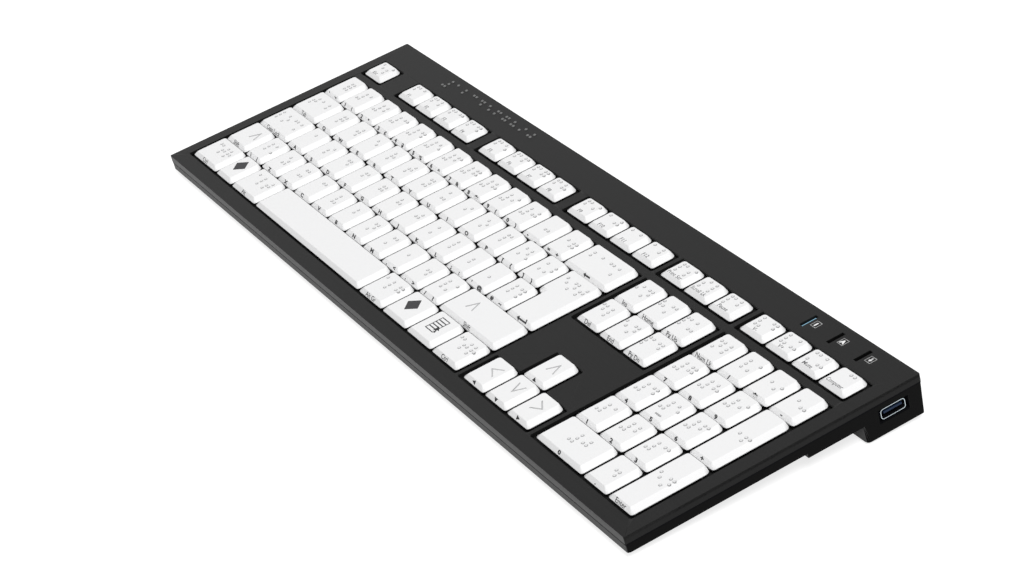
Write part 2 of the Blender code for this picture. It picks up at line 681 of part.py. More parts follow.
def build_top_cover(parts, tools, tilt, material):
    bm = bmesh.new()
    verts = add_box(bm, (CASE_LEFT, CASE_FRONT, TOP_COVER_BOTTOM), (CASE_RIGHT, CASE_REAR, BEZEL_TOP))
    cut_edges(bm, edges_along(verts, 2), CASE_CORNER, CASE_CORNER_STEPS)
    rim = [edge for edge in bm.edges if all(abs(vert.co.z - BEZEL_TOP) < CASE_EDGE / 2
                                           for vert in edge.verts)]
    cut_edges(bm, rim, CASE_EDGE)
    cover = finish(bm, "top_cover", parts, tilt, material=material)

    bm = bmesh.new()
    add_box(bm, (CASE_LEFT + TOP_WALL, CASE_FRONT + TOP_WALL, TOP_COVER_BOTTOM - OVERRUN),
            (CASE_RIGHT - TOP_WALL, CASE_REAR - TOP_WALL, BEZEL_UNDERSIDE))
    boolean(cover, finish(bm, "top_cover_hollow", tools, tilt), "DIFFERENCE")

    bm = bmesh.new()
    low, high = BEZEL_UNDERSIDE - OVERRUN, BEZEL_TOP + OVERRUN
    for left, front, right, rear in well_boxes():
        add_plate(bm, (left - WELL_MARGIN, front - WELL_MARGIN, low),
                  (right + WELL_MARGIN, rear + WELL_MARGIN, high), WELL_CORNER)
    for x in lamp_centres():
        add_box(bm, (x - LAMP_SLOT_WIDTH / 2, LAMP_FRONT, low), (x + LAMP_SLOT_WIDTH / 2, LAMP_REAR, high))
    boolean(cover, finish(bm, "top_cover_wells", tools, tilt), "DIFFERENCE")

    bm = bmesh.new()
    left = NAV_LEFT + KEY_PITCH
    add_plate(bm, (left - WELL_MARGIN, KEY_PITCH / 2, low),
              (left + KEY_PITCH + WELL_MARGIN, 2 * KEY_PITCH + WELL_MARGIN, high), WELL_CORNER)
    boolean(cover, finish(bm, "top_cover_up_well", tools, tilt), "DIFFERENCE")

    bm = bmesh.new()
    bottom, top = FRAME_TOP + FIT, BEZEL_UNDERSIDE + BEZEL_THICKNESS / 2
    front, rear = CASE_FRONT + BOTTOM_WALL + FIT, FUNCTION_REAR
    for x in (MAIN_WIDTH + NAV_GAP / 2, PAD_LEFT - PAD_GAP / 2):
        add_box(bm, (x - RIB_WIDTH / 2, front, bottom), (x + RIB_WIDTH / 2, rear, top))
    boolean(cover, finish(bm, "top_cover_ribs", tools, tilt), "UNION")


def build_bottom_cover(parts, tools, tilt, material):
    bm = bmesh.new()
    outline = [(CASE_FRONT, BOTTOM_COVER_TOP), (CASE_FRONT, RIM_BOTTOM), (BELLY_START, RIM_BOTTOM),
               (BELLY_START, BELLY_BOTTOM), (BAR_START, BELLY_BOTTOM), (BAR_START, BAR_BOTTOM),
               (BAR_REAR, BAR_BOTTOM), (CASE_REAR, BOTTOM_COVER_TOP)]
    verts = add_prism(bm, outline, CASE_LEFT, CASE_RIGHT)
    ends = [edge for edge in edges_along(verts, 2)
            if edge.verts[0].co.y < CASE_FRONT + BOTTOM_WALL or edge.verts[0].co.y > BAR_START + BAR_WALL]
    bar_ends = [edge for edge in edges_along(verts, 2)
                if all(abs(vert.co.y - BAR_START) < FIT for vert in edge.verts)]
    cut_edges(bm, ends, CASE_CORNER, CASE_CORNER_STEPS)
    cut_edges(bm, bar_ends, BAR_CORNER, BAR_CORNER_STEPS)
    low = [edge for edge in bm.edges if all(vert.co.z < BAR_BOTTOM + UNDER_EDGE / 2 for vert in edge.verts)]
    low += [edge for edge in bm.edges if all(abs(vert.co.z - RIM_BOTTOM) < UNDER_EDGE / 2
                                             and vert.co.y < BELLY_START - UNDER_EDGE for vert in edge.verts)]
    cut_edges(bm, low, UNDER_EDGE)
    cover = finish(bm, "bottom_cover", parts, tilt, material=material)

    bm = bmesh.new()
    inset = BELLY_INSET
    verts = add_box(bm, (CASE_LEFT + inset, CASE_FRONT + inset, BELLY_BOTTOM),
                    (CASE_RIGHT - inset, BELLY_START + FLOOR, RIM_BOTTOM + FLOOR / 2))
    low = [edge for edge in edges_along(verts, 0) if edge.verts[0].co.y < BELLY_START
           and edge.verts[0].co.z < RIM_BOTTOM]
    cut_edges(bm, low, UNDER_EDGE)
    boolean(cover, finish(bm, "bottom_cover_belly", tools, tilt), "UNION")

    bm = bmesh.new()
    open_top = BOTTOM_COVER_TOP + OVERRUN
    outline = [(INNER_FRONT, open_top), (INNER_FRONT, SHELF), (BELLY_START + FLOOR, SHELF),
               (BELLY_START + FLOOR, BELLY_FLOOR), (BAR_START + BAR_WALL, BELLY_FLOOR),
               (BAR_START + BAR_WALL, BAR_FLOOR), (BAR_REAR - BAR_WALL, BAR_FLOOR),
               (BAR_REAR - BAR_WALL, open_top)]
    add_prism(bm, outline, INNER_LEFT, INNER_RIGHT)
    boolean(cover, finish(bm, "bottom_cover_hollow", tools, tilt), "DIFFERENCE")

    bm = bmesh.new()
    inset = BELLY_INSET + FLOOR
    add_box(bm, (CASE_LEFT + inset, CASE_FRONT + inset, BELLY_FLOOR),
            (CASE_RIGHT - inset, BELLY_START + FLOOR * 2, SHELF + OVERRUN))
    boolean(cover, finish(bm, "bottom_cover_belly_hollow", tools, tilt), "DIFFERENCE")

    bm = bmesh.new()
    add_box(bm, (CASE_RIGHT - BOTTOM_WALL - OVERRUN, USB_Y - USB_WIDTH / 2 - USB_MARGIN_Y,
                 USB_BOTTOM - USB_MARGIN_Z),
            (CASE_RIGHT + OVERRUN, USB_Y + USB_WIDTH / 2 + USB_MARGIN_Y, USB_TOP + USB_MARGIN_Z))
    hole = Matrix.Translation((GLAND_X, BAR_REAR - BAR_WALL / 2, GLAND_Z)) @ Matrix.Rotation(pi / 2, 4, "X")
    bmesh.ops.create_cone(bm, cap_ends=True, segments=GLAND_STEPS, radius1=GLAND_NECK + FIT,
                          radius2=GLAND_NECK + FIT, depth=BAR_WALL + 2 * BAR_DRAFT + 2 * OVERRUN, matrix=hole)
    boolean(cover, finish(bm, "bottom_cover_holes", tools, tilt), "DIFFERENCE")

    bm = bmesh.new()
    inset = TOP_WALL + FIT
    add_wall_ring(bm, (CASE_LEFT + inset, CASE_FRONT + inset, BOTTOM_COVER_TOP - OVERRUN),
                  (CASE_RIGHT - inset, CASE_REAR - inset, BOTTOM_COVER_TOP + LIP_HEIGHT), LIP_WALL)
    boolean(cover, finish(bm, "bottom_cover_lip", tools, tilt), "UNION")

    bm = bmesh.new()
    rear = FUNCTION_REAR + FRAME_REAR
    add_box(bm, (INNER_LEFT - BOTTOM_WALL / 2, rear - FRAME_RIM, BAR_FLOOR - FLOOR / 2),
            (BOARD_LEFT - BOARD_MARGIN, rear, SHELF))
    for x in (BOARD_LEFT + BOSS_INSET, USB_LEFT - BOSS_INSET):
        for y in (BOARD_FRONT + BOSS_INSET, BOARD_REAR - BOSS_INSET):
            add_peg(bm, x, y, BAR_FLOOR - FLOOR / 2, BOARD_BOTTOM - FIT, BOSS_RADIUS, BOSS_SIDES)
    boolean(cover, finish(bm, "bottom_cover_supports", tools, tilt), "UNION")


def build_key_frame(keys, parts, tools, tilt, material):
    """The guide plate: a hole for each post, and a rim that stands on the bottom cover's shelf."""
    left, right = INNER_LEFT + FIT, INNER_RIGHT - FIT
    front, rear = INNER_FRONT + FIT, FUNCTION_REAR + FRAME_REAR
    bm = bmesh.new()
    add_box(bm, (left, front, FRAME_BOTTOM), (right, rear, FRAME_TOP))
    frame = finish(bm, "key_frame", parts, tilt, material=material)

    bm = bmesh.new()
    for key in keys:
        for x, y, width in key.posts():
            half = width / 2 + FIT
            add_box(bm, (x - half, y - half, FRAME_BOTTOM - OVERRUN),
                    (x + half, y + half, FRAME_TOP + OVERRUN))
    boolean(frame, finish(bm, "key_frame_holes", tools, tilt), "DIFFERENCE")

    bm = bmesh.new()
    add_wall_ring(bm, (left, front, SHELF + FIT), (right, rear, FRAME_BOTTOM + FRAME_THICKNESS / 2),
                  FRAME_RIM)
    boolean(frame, finish(bm, "key_frame_rim", tools, tilt), "UNION")


def sheet_corners():
    """The rectangle that the dome sheet, membrane and plate share."""
    return (SHEET_INSET, SHEET_INSET), (PAD_RIGHT - SHEET_INSET, SHEET_REAR)


def build_dome_sheet(keys, parts, tools, tilt, material):
    (left, front), (right, rear) = sheet_corners()
    bm = bmesh.new()
    add_box(bm, (left, front, SHEET_BOTTOM), (right, rear, SHEET_TOP))
    sheet = finish(bm, "dome_sheet", parts, tilt, material=material)
    bm = bmesh.new()
    for key in keys:
        x, y = key.plunger()
        verts = add_box(bm, (x - DOME_BASE / 2, y - DOME_BASE / 2, SHEET_TOP - SHEET_THICKNESS / 2),
                        (x + DOME_BASE / 2, y + DOME_BASE / 2, DOME_TIP))
        for vert in verts:
            if vert.co.z > SHEET_TOP:
                vert.co.x = x + (vert.co.x - x) * DOME_TOP / DOME_BASE
                vert.co.y = y + (vert.co.y - y) * DOME_TOP / DOME_BASE
    boolean(sheet, finish(bm, "dome_sheet_domes", tools, tilt), "UNION")


def build_membrane(parts, tools, tilt, material):
    """The circuit film, with the tail that runs down to the controller board."""
    (left, front), (right, rear) = sheet_corners()
    bottom = MEMBRANE_TOP - MEMBRANE_THICKNESS
    bm = bmesh.new()
    add_box(bm, (left, front, bottom), (right, rear, MEMBRANE_TOP))
    film = finish(bm, "membrane_circuit", parts, tilt, material=material)
    tail = BOARD_LEFT + BOSS_INSET * 2
    drop = rear + CHIP_WIDTH / 3
    outline = [(rear - CHIP_WIDTH, MEMBRANE_TOP - MEMBRANE_THICKNESS / 4), (rear - CHIP_WIDTH, bottom),
               (drop - MEMBRANE_THICKNESS, bottom), (drop - MEMBRANE_THICKNESS, BOARD_TOP + CHIP_HEIGHT + FIT),
               (drop, BOARD_TOP + CHIP_HEIGHT + FIT), (drop, MEMBRANE_TOP - MEMBRANE_THICKNESS / 4)]
    bm = bmesh.new()
    add_prism(bm, outline, tail, tail + CHIP_WIDTH)
    boolean(film, finish(bm, "membrane_tail", tools, tilt), "UNION")


def build_backing_plate(parts, tilt, material):
    (left, front), (right, rear) = sheet_corners()
    bm = bmesh.new()
    add_plate(bm, (left, front, PLATE_TOP - PLATE_THICKNESS), (right, rear, PLATE_TOP), WELL_CORNER)
    finish(bm, "backing_plate", parts, tilt, material=material)


def build_controller_board(parts, tools, tilt, material):
    bm = bmesh.new()
    add_box(bm, (BOARD_LEFT, BOARD_FRONT, BOARD_BOTTOM), (BOARD_RIGHT, BOARD_REAR, BOARD_TOP))
    board = finish(bm, "controller_board", parts, tilt, material=material)
    bm = bmesh.new()
    sunk = BOARD_TOP - BOARD_THICKNESS / 2
    for x in lamp_centres():
        add_box(bm, (x - LED_WIDTH / 2, LAMP_MIDDLE - LED_LENGTH / 2, sunk),
                (x + LED_WIDTH / 2, LAMP_MIDDLE + LED_LENGTH / 2, BOARD_TOP + LED_HEIGHT))
    tail = BOARD_LEFT + BOSS_INSET * 2
    drop = SHEET_REAR + CHIP_WIDTH / 3
    add_box(bm, (tail - FIT, drop - CHIP_WIDTH / 4, sunk),
            (tail + CHIP_WIDTH + FIT, drop + CHIP_WIDTH / 4, BOARD_TOP + CHIP_HEIGHT))
    chip = USB_LEFT - CHIP_WIDTH * 2
    add_box(bm, (chip, USB_Y - CHIP_WIDTH, sunk), (chip + CHIP_WIDTH, USB_Y, BOARD_TOP + CHIP_HEIGHT))
    boolean(board, finish(bm, "controller_board_chips", tools, tilt), "UNION")


def build_usb_socket(parts, tools, tilt, steel, insert):
    """The socket's folded steel shell, and the plastic tongue inside it."""
    bm = bmesh.new()
    low = (USB_LEFT, USB_Y - USB_WIDTH / 2, USB_BOTTOM)
    high = (USB_RIGHT, USB_Y + USB_WIDTH / 2, USB_TOP)
    verts = add_box(bm, low, high)
    cut_edges(bm, edges_along(verts, 0), USB_CORNER, USB_CORNER_STEPS)
    shell = finish(bm, "usb_shell", parts, tilt, material=steel)
    bm = bmesh.new()
    verts = add_box(bm, (USB_LEFT - OVERRUN, low[1] + USB_SHEET, low[2] + USB_SHEET),
                    (USB_RIGHT + OVERRUN, high[1] - USB_SHEET, high[2] - USB_SHEET))
    cut_edges(bm, edges_along(verts, 0), USB_CORNER - USB_SHEET, USB_CORNER_STEPS)
    boolean(shell, finish(bm, "usb_shell_bore", tools, tilt), "DIFFERENCE")

    side = USB_SHEET + FIT
    bm = bmesh.new()
    verts = add_box(bm, (USB_LEFT, low[1] + side, low[2] + side),
                    (USB_LEFT + USB_BLOCK_LENGTH, high[1] - side, high[2] - side))
    cut_edges(bm, edges_along(verts, 0), USB_CORNER, USB_CORNER_STEPS)
    tongue = finish(bm, "usb_tongue", parts, tilt, material=insert)
    bm = bmesh.new()
    top = high[2] - side - USB_TONGUE_GAP
    add_box(bm, (USB_LEFT + USB_BLOCK_LENGTH / 2, low[1] + side + USB_TONGUE_SIDE, top - USB_TONGUE_THICKNESS),
            (USB_RIGHT - USB_TONGUE_SETBACK, high[1] - side - USB_TONGUE_SIDE, top))
    boolean(tongue, finish(bm, "usb_tongue_blade", tools, tilt), "UNION")


def build_light_pipe(parts, tools, tilt, material):
    """One clear moulding: a window bar in each slot, a web under the cover, legs down to the lamps."""
    centres = lamp_centres()
    half = LAMP_SLOT_WIDTH / 2 - FIT
    web_top = BEZEL_UNDERSIDE - FIT
    bm = bmesh.new()
    add_box(bm, (centres[0] - LAMP_LEG, LAMP_MIDDLE - LAMP_LEG, web_top - LAMP_WEB),
            (centres[-1] + LAMP_LEG, LAMP_MIDDLE + LAMP_LEG, web_top))
    pipe = finish(bm, "light_pipe", parts, tilt, material=material)
    bm = bmesh.new()
    for x in centres:
        add_box(bm, (x - half, LAMP_FRONT + FIT, web_top - LAMP_WEB / 2),
                (x + half, LAMP_REAR - FIT, BEZEL_TOP - LAMP_DEPTH))
    boolean(pipe, finish(bm, "light_pipe_windows", tools, tilt), "UNION")
    bm = bmesh.new()
    for x in centres:
        add_box(bm, (x - half, LAMP_MIDDLE - LAMP_LEG / 2, BOARD_TOP + LED_HEIGHT + FIT),
                (x + half, LAMP_MIDDLE + LAMP_LEG / 2, web_top - LAMP_WEB * 3 / 4))
    boolean(pipe, finish(bm, "light_pipe_legs", tools, tilt), "UNION")


def build_cord_gland(parts, tilt, material):
    """A flanged bush in the rear wall, turned about the line that a cord would leave along."""
    inside = -BAR_WALL - FIT
    outside = BAR_DRAFT + FIT
    flange = GLAND_FLANGE_THICKNESS
    profile = [(GLAND_BORE, outside + flange), (GLAND_FLANGE, outside + flange), (GLAND_FLANGE, outside),
               (GLAND_NECK, outside), (GLAND_NECK, inside), (GLAND_FLANGE, inside),
               (GLAND_FLANGE, inside - flange), (GLAND_BORE, inside - flange)]
    mesh = bpy.data.meshes.new("cord_gland")
    count = len(profile)
    mesh.from_pydata([(radius, 0, height) for radius, height in profile],
                     [(place, (place + 1) % count) for place in range(count)], [])
    mesh.materials.append(material)
    gland = bpy.data.objects.new("cord_gland", mesh)
    parts.objects.link(gland)
    gland.location = (GLAND_X, BAR_REAR, GLAND_Z)
    gland.rotation_euler = (-pi / 2, 0, 0)
    gland.parent = tilt
    turn = gland.modifiers.new("turn", "SCREW")
    turn.steps = GLAND_STEPS
    turn.render_steps = GLAND_STEPS
    turn.use_merge_vertices = True
    turn.merge_threshold = FIT / 10
    return gland


def desk_height(y):
    """The desk's height under a point, in the keyboard's own plane."""
    return FRONT_STRIP_BOTTOM - (y - FRONT_STRIP_Y) * DESK_SLOPE


def build_strip(name, y, seat, parts, tilt, material):
    """A rubber strip whose underside lies flat on the desk."""
    bm = bmesh.new()
    front, rear = y - STRIP_WIDTH / 2, y + STRIP_WIDTH / 2
    outline = [(front, seat - FIT), (front, desk_height(front)), (rear, desk_height(rear)), (rear, seat - FIT)]
    add_prism(bm, outline, CASE_LEFT + STRIP_END_INSET, CASE_RIGHT - STRIP_END_INSET)
    finish(bm, name, parts, tilt, material=material)


def stand_on_desk(tilt, parts):
    """Tilts the keyboard onto its strips, its box centred on the origin with its base at zero."""
    tilt.rotation_euler = (atan(DESK_SLOPE), 0, 0)
    bpy.context.view_layer.update()
    depsgraph = bpy.context.evaluated_depsgraph_get()
    points = []
    for obj in parts.objects:
        mesh = obj.evaluated_get(depsgraph).data
        points += [obj.matrix_world @ vert.co for vert in mesh.vertices]
    low = [min(point[axis] for point in points) for axis in range(3)]
    high = [max(point[axis] for point in points) for axis in range(3)]
    tilt.location = (-(low[0] + high[0]) / 2, -(low[1] + high[1]) / 2, -low[2])


def main():
    clear_scene()
    parts = new_collection("braille_keyboard")
    tools = new_collection("cutting_tools")
    tilt = bpy.data.objects.new("desk_tilt", None)
    bpy.context.scene.collection.objects.link(tilt)

    plastic = make_material("charcoal_plastic", COVER_COLOUR, 0.45)
    cap_plastic = make_material("white_key_plastic", KEY_COLOUR, 0.5)
    steel = make_material("bright_steel", STEEL_COLOUR, 0.3, 1.0)
    rubber = make_material("black_rubber", RUBBER_COLOUR, 0.8)

    keys = all_keys()
    build_top_cover(parts, tools, tilt, plastic)
    build_bottom_cover(parts, tools, tilt, plastic)
    build_keys(keys, parts, tools, tilt, cap_plastic)
    build_key_frame(keys, parts, tools, tilt, make_material("black_frame_plastic", FRAME_COLOUR, 0.6))
    build_dome_sheet(keys, parts, tools, tilt, make_material("clear_silicone", SILICONE_COLOUR, 0.5))
    build_membrane(parts, tools, tilt, make_material("circuit_film", FILM_COLOUR, 0.35))
    build_backing_plate(parts, tilt, steel)
    build_controller_board(parts, tools, tilt, make_material("green_board", BOARD_COLOUR, 0.5))
    build_usb_socket(parts, tools, tilt, steel, make_material("socket_insert", INSERT_COLOUR, 0.4))
    build_light_pipe(parts, tools, tilt, make_material("clear_window", CLEAR_COLOUR, 0.2))
    build_cord_gland(parts, tilt, rubber)
    build_strip("front_rubber_strip", FRONT_STRIP_Y, BELLY_BOTTOM, parts, tilt, rubber)
    build_strip("rear_rubber_strip", REAR_STRIP_Y, BAR_BOTTOM, parts, tilt, rubber)
    stand_on_desk(tilt, parts)


main()
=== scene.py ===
"""The looks of the braille keyboard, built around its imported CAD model.

New pieces are modelled flat, in the keyboard's own plane: x to the right, y to the rear, z out of the
keys, with zero at the lower edge of the keycaps' slopes and at the front left corner of the letter
block. The keycaps are then let down by KEY_DROP, and KEYBOARD tilts each piece back onto the desk,
where the CAD has it.
"""

from math import atan

import bmesh
import bpy
from mathutils import Matrix, Vector


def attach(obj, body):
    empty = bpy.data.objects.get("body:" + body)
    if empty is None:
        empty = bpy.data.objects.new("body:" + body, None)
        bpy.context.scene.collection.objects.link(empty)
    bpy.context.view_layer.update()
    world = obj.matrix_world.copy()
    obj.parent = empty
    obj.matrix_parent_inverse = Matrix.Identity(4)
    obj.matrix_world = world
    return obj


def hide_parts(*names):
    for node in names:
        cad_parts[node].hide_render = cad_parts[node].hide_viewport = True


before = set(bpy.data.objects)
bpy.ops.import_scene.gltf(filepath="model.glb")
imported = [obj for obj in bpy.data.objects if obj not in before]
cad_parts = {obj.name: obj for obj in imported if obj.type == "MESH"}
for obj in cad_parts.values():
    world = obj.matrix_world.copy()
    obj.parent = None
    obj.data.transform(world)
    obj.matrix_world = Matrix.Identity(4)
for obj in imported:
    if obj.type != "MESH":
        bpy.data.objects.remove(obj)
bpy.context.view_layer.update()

mm = 0.001
SMOOTH_AREA = 3e-6

# The keyboard's plane in the row frame
ORIGIN = Vector((-214.185, -62.632, 12.274)) * mm
SLOPE = 0.075
KEYBOARD = Matrix.Translation(ORIGIN) @ Matrix.Rotation(atan(SLOPE), 4, "X")

# Key grid
PITCH = 19.01 * mm
GAP_X = 1.45 * mm
GAP_Y = 0.9 * mm
MAIN_UNITS = 15
NAV_LEFT = 290.33 * mm
PAD_LEFT = 352.72 * mm
MAIN_REAR = 5 * PITCH
FUNCTION_FRONT = 100.3 * mm
FUNCTION_DEPTH = 14.2 * mm
FUNCTION_CAP_DEPTH = 13.75 * mm

# Keycap
KEY_DROP = 0.6 * mm
CAP_HEIGHT = 2.1 * mm
CAP_SKIRT = 0.25 * mm
FRONT_SKIRT = 0.78 * mm
LEFT_SLOPE = 2.75 * mm
RIGHT_SLOPE = 2.35 * mm
FRONT_SLOPE = 1.7 * mm
REAR_SLOPE = 0.5 * mm
FUNCTION_SLOPE = 1.9 * mm
FUNCTION_REAR_SLOPE = 0.9 * mm
BASE_CORNER = 2.4 * mm
FRONT_BASE_SHARE = 0.5
FRONT_CORNER_SHARE = 0.5
REAR_CORNER_SHARE = 0.55
CAP_EDGE = 0.25 * mm
CAP_WALL = 1.0 * mm
CAP_HOLLOW = 1.0 * mm
CAP_CORNER_STEPS = 5
POST_BOTTOM = -3.8 * mm
POST_WIDTH = 5.0 * mm
GUIDE_SHARE = 0.6
LONG_KEY_SHARE = 0.45

# Raised marks
DOT_RADIUS = 0.85 * mm
DOT_HEIGHT = 0.5 * mm
DOT_CROWN_SHARE = 0.8
DOT_SPACING = 2.5 * mm
CELL_PITCH = 7.0 * mm
CELL_PITCH_TIGHT = 6.2 * mm
GROUP_SHIFT_X = 1.3 * mm
NAV_SHIFT_X = -0.1 * mm
SINGLE_SHIFT_X = 2.3 * mm
TEXT_SHIFT_Y = 1.2 * mm
BOTTOM_ROW_SHIFT_Y = 1.9 * mm
CHEVRON_HALF_WIDTH = 3.0 * mm
CHEVRON_LENGTH = 6.2 * mm
CHEVRON_SIDE_HALF_WIDTH = 3.3 * mm
CHEVRON_SIDE_LENGTH = 5.8 * mm
CHEVRON_SHIFT_X = 1.7 * mm
CHEVRON_SHIFT_Y = 1.5 * mm
SHIFT_CHEVRON_INSET = 14.8 * mm
CHEVRON_STROKE = 0.6 * mm
CHEVRON_HEIGHT = 0.3 * mm
HOMING_BAR_HALF_LENGTH = 2.0 * mm
HOMING_BAR_FRONT = 3.9 * mm
HOMING_BAR_REAR = 4.6 * mm
HOMING_BAR_FOOT = 0.2 * mm
HOMING_BAR_HEIGHT = 0.4 * mm
HOMING_BAR_EDGE = 0.15 * mm

# Printed legends
INK = 0.02 * mm
LEGEND_SIZE = 3.1 * mm
LEGEND_SPREAD = 1.15
LEGEND_WEIGHT = 0.01
SIGN_SIZE = 2.5 * mm
SIGN_SPREAD = 1.6
SIGN_WEIGHT = 0.05
STAR_GROWTH = 1.7
FUNCTION_LEGEND_SIZE = 2.7 * mm
FUNCTION_LEGEND_WIDTH = 10.8 * mm
LEGEND_PAIR = 3.7 * mm
CAPITAL_SHARE = 0.36
FUNCTION_LEGEND_Y = 3.2 * mm
TOP_SIGN_SHIFT_Y = 1.5 * mm
ENTER_ARROW_SHIFT_X = 1.5 * mm
BACK_ARROW_SHIFT_X = 1.4 * mm

# Material slots of a keycap, after the white plastic
INK_SLOT = 1
# Painted shade: grey round the dot feet and on the homing bar, a lighter grey on the dot crowns
DOT_SHADE_SLOT = 2
# Painted shade: the chevrons are grey
CHEVRON_SHADE_SLOT = 3
DOT_LIT_CROWN_SLOT = 4
SOFT_INK_SLOT = 5

# Top cover
CASE_LEFT = -8.9 * mm
CASE_RIGHT = 437.27 * mm
CASE_FRONT = -8.85 * mm
CASE_REAR = 131.6 * mm
BEZEL_TOP = -0.5 * mm
BEZEL_UNDERSIDE = -2.0 * mm
SEAM_TOP = -4.15 * mm
CASE_CORNER = 0.6 * mm
CASE_CORNER_STEPS = 6
CASE_EDGE = 0.12 * mm
CASE_LAP = 0.1 * mm
SEAM_DEPTH = 0.6 * mm
COVER_WALL = 1.5 * mm
WELL_LEFT_MARGIN = 2.0 * mm
FUNCTION_LEFT_MARGIN = 1.6 * mm
WELL_RIGHT_MARGIN = 1.15 * mm
WELL_FRONT_MARGIN = 1.05 * mm
WELL_REAR_MARGIN = 0.35 * mm
WELL_CORNER = 1.2 * mm
WELL_CORNER_STEPS = 4
BEZEL_TEXT_X = 92.3 * mm
BEZEL_TEXT_Y = 124.3 * mm
BEZEL_CELL_PITCH = 8.4 * mm

# Lamps
LAMP_FRONT = 119.4 * mm
LAMP_REAR = 127.9 * mm
LAMP_HALF_WIDTH = 1.05 * mm
LAMP_START = 19.3 * mm
LAMP_PITCH = 19.05 * mm
LAMP_COUNT = 3
# Sheets of painted shade on the left and rear sides of each slot
LAMP_SHADE_SHEET = 0.15 * mm
LAMP_SHADE_SHEET_DROP = 0.05 * mm
LAMP_PLAY = 0.3 * mm
LAMP_BAR_TOP = -1.9 * mm
LIT_BAR_TOP = -1.6 * mm
LAMP_BAR_UNDERSIDE = -2.7 * mm
LAMP_BAR_EDGE = 0.1 * mm
LAMP_WEB_HALF_WIDTH = 3.0 * mm
LAMP_WEB_TOP = -2.3 * mm
LAMP_WEB_UNDERSIDE = -3.1 * mm
LAMP_LEG_HALF_WIDTH = 1.5 * mm
LAMP_LEG_TOP = -2.9 * mm
LAMP_LEG_FOOT = -12.0 * mm
LAMP_SIGN_SHIFT_X = 4.75 * mm
LAMP_SIGN_Y = 124.0 * mm
LAMP_LETTER_SIZE = 2.9 * mm
LAMP_LETTER_SPREAD = 1.2
LAMP_LETTER_WEIGHT = 0.06
LAMP_LETTER_DROP = 1.05 * mm

# USB socket
USB_RIGHT = 436.57 * mm
USB_LENGTH = 14.0 * mm
USB_MIDDLE_Y = 117.15 * mm
USB_MIDDLE_Z = -10.3 * mm
USB_WIDTH = 12.0 * mm
USB_HEIGHT = 4.9 * mm
USB_CORNER = 1.4 * mm
USB_CORNER_STEPS = 4
USB_SHEET = 0.3 * mm
LINER_WIDTH = 14.7 * mm
LINER_HEIGHT = 6.3 * mm
LINER_SHEET = 0.15 * mm
LINER_FRONT = 0.68 * mm
LINER_BACK = -3.0 * mm
LINER_FLOOR = -1.2 * mm
BLADE_WIDTH = 9.0 * mm
BLADE_SHEET = 0.9 * mm
BLADE_RISE = 0.4 * mm
BLADE_SETBACK = 0.15 * mm
BLADE_ROOT = 3.5 * mm

# Camera in the keyboard's plane, lights and setting
CAMERA_PLACE = Vector((1208.91, -331.26, 621.37)) * mm
CAMERA_FORWARD = Vector((-0.79674, 0.31587, -0.51521))
CAMERA_RIGHT = Vector((0.48352, 0.84459, -0.22993))
CAMERA_DOWN = Vector((0.36252, -0.43231, -0.82565))
CAMERA_LENS = 96.37
CAMERA_SENSOR = 36
CAMERA_CLIP = 0.05
KEY_LIGHT_PLACE = (9.9, -2.2, 14.8)
KEY_LIGHT_SIZE = 8.0
KEY_LIGHT_POWER = 2440
FILL_PLACE = (1.0, -9.0, 5.0)
FILL_SIZE = 5.0
FILL_POWER = 86
FLOOR_SIZE = 4
FLOOR_GREY = 0.4
FLOOR_GLOW = 0.78
WORLD_LEVEL = 0.38

LETTER_DOTS = dict(zip("abcdefghijklmnopqrstuvwxyz", (
    "1", "12", "14", "145", "15", "124", "1245", "125", "24", "245", "13", "123", "134", "1345",
    "135", "1234", "12345", "1235", "234", "2345", "136", "1236", "2456", "1346", "13456", "1356")))
SIGN_DOTS = {
    "`": ["123456"], "-": ["36"], "=": ["5", "2356"], "[": ["46", "126"], "]": ["46", "345"],
    ";": ["23"], "'": ["3"], "#": ["456", "1456"], "\\": ["456", "16"], ",": ["2"], ".": ["256"],
    "/": ["456", "34"], "*": ["5", "35"], "minus": ["5", "36"], "+": ["5", "235"]}
NUMBER_SIGN = "3456"
ARROWS = {"up": (0, 1), "down": (0, -1), "left": (-1, 0), "right": (1, 0)}

# Each row as node, width in units, raised mark and printed legends
BOTTOM_ROW = [
    ("left_modifier_keys", 1.5, "ctr", ["Ctrl"]), ("left_modifier_keys", 1, "", ["diamond"]),
    ("left_modifier_keys", 1.5, "alt", ["Alt"]), ("space_bar", 6, "", []),
    ("right_modifier_keys", 1.25, "alg", ["Alt Gr"]), ("right_modifier_keys", 1.25, "", ["diamond"]),
    ("right_modifier_keys", 1.25, "", ["menu"]), ("right_modifier_keys", 1.25, "ctr", ["Ctrl"])]
SHIFT_ROW = (
    [("left_shift_key", 1.25, "up", ["Shift"]), ("backslash_key", 1, "\\", ["\\", "|"])]
    + [("key_" + letter, 1, letter, [letter.upper()]) for letter in "zxcvbnm"]
    + [("punctuation_keys", 1, pair[0], list(pair)) for pair in (",<", ".>", "/?")]
    + [("right_shift_key", 2.75, "up", ["Shift"])])
HOME_ROW = (
    [("caps_lock_key", 1.75, "lock", ["Caps Lock"])]
    + [("key_" + letter, 1, letter, [letter.upper()]) for letter in "asdfghjkl"]
    + [("punctuation_keys", 1, pair[0], list(pair)) for pair in (";:", "'@", "#~")])
UPPER_ROW = (
    [("tab_key", 1.5, "tab", ["Tab"])]
    + [("key_" + letter, 1, letter, [letter.upper()]) for letter in "qwertyuiop"]
    + [("punctuation_keys", 1, pair[0], list(pair)) for pair in ("[{", "]}")])
NUMBER_ROW = (
    [("number_row_keys", 1, pair[0], list(pair))
     for pair in ("`¬", "1!", "2\"", "3£", "4$", "5%", "6^", "7&", "8*", "9(", "0)", "-_", "=+")]
    + [("backspace_key", 2, "back", ["back arrow"])])
MAIN_ROWS = [BOTTOM_ROW, SHIFT_ROW, HOME_ROW, UPPER_ROW, NUMBER_ROW]

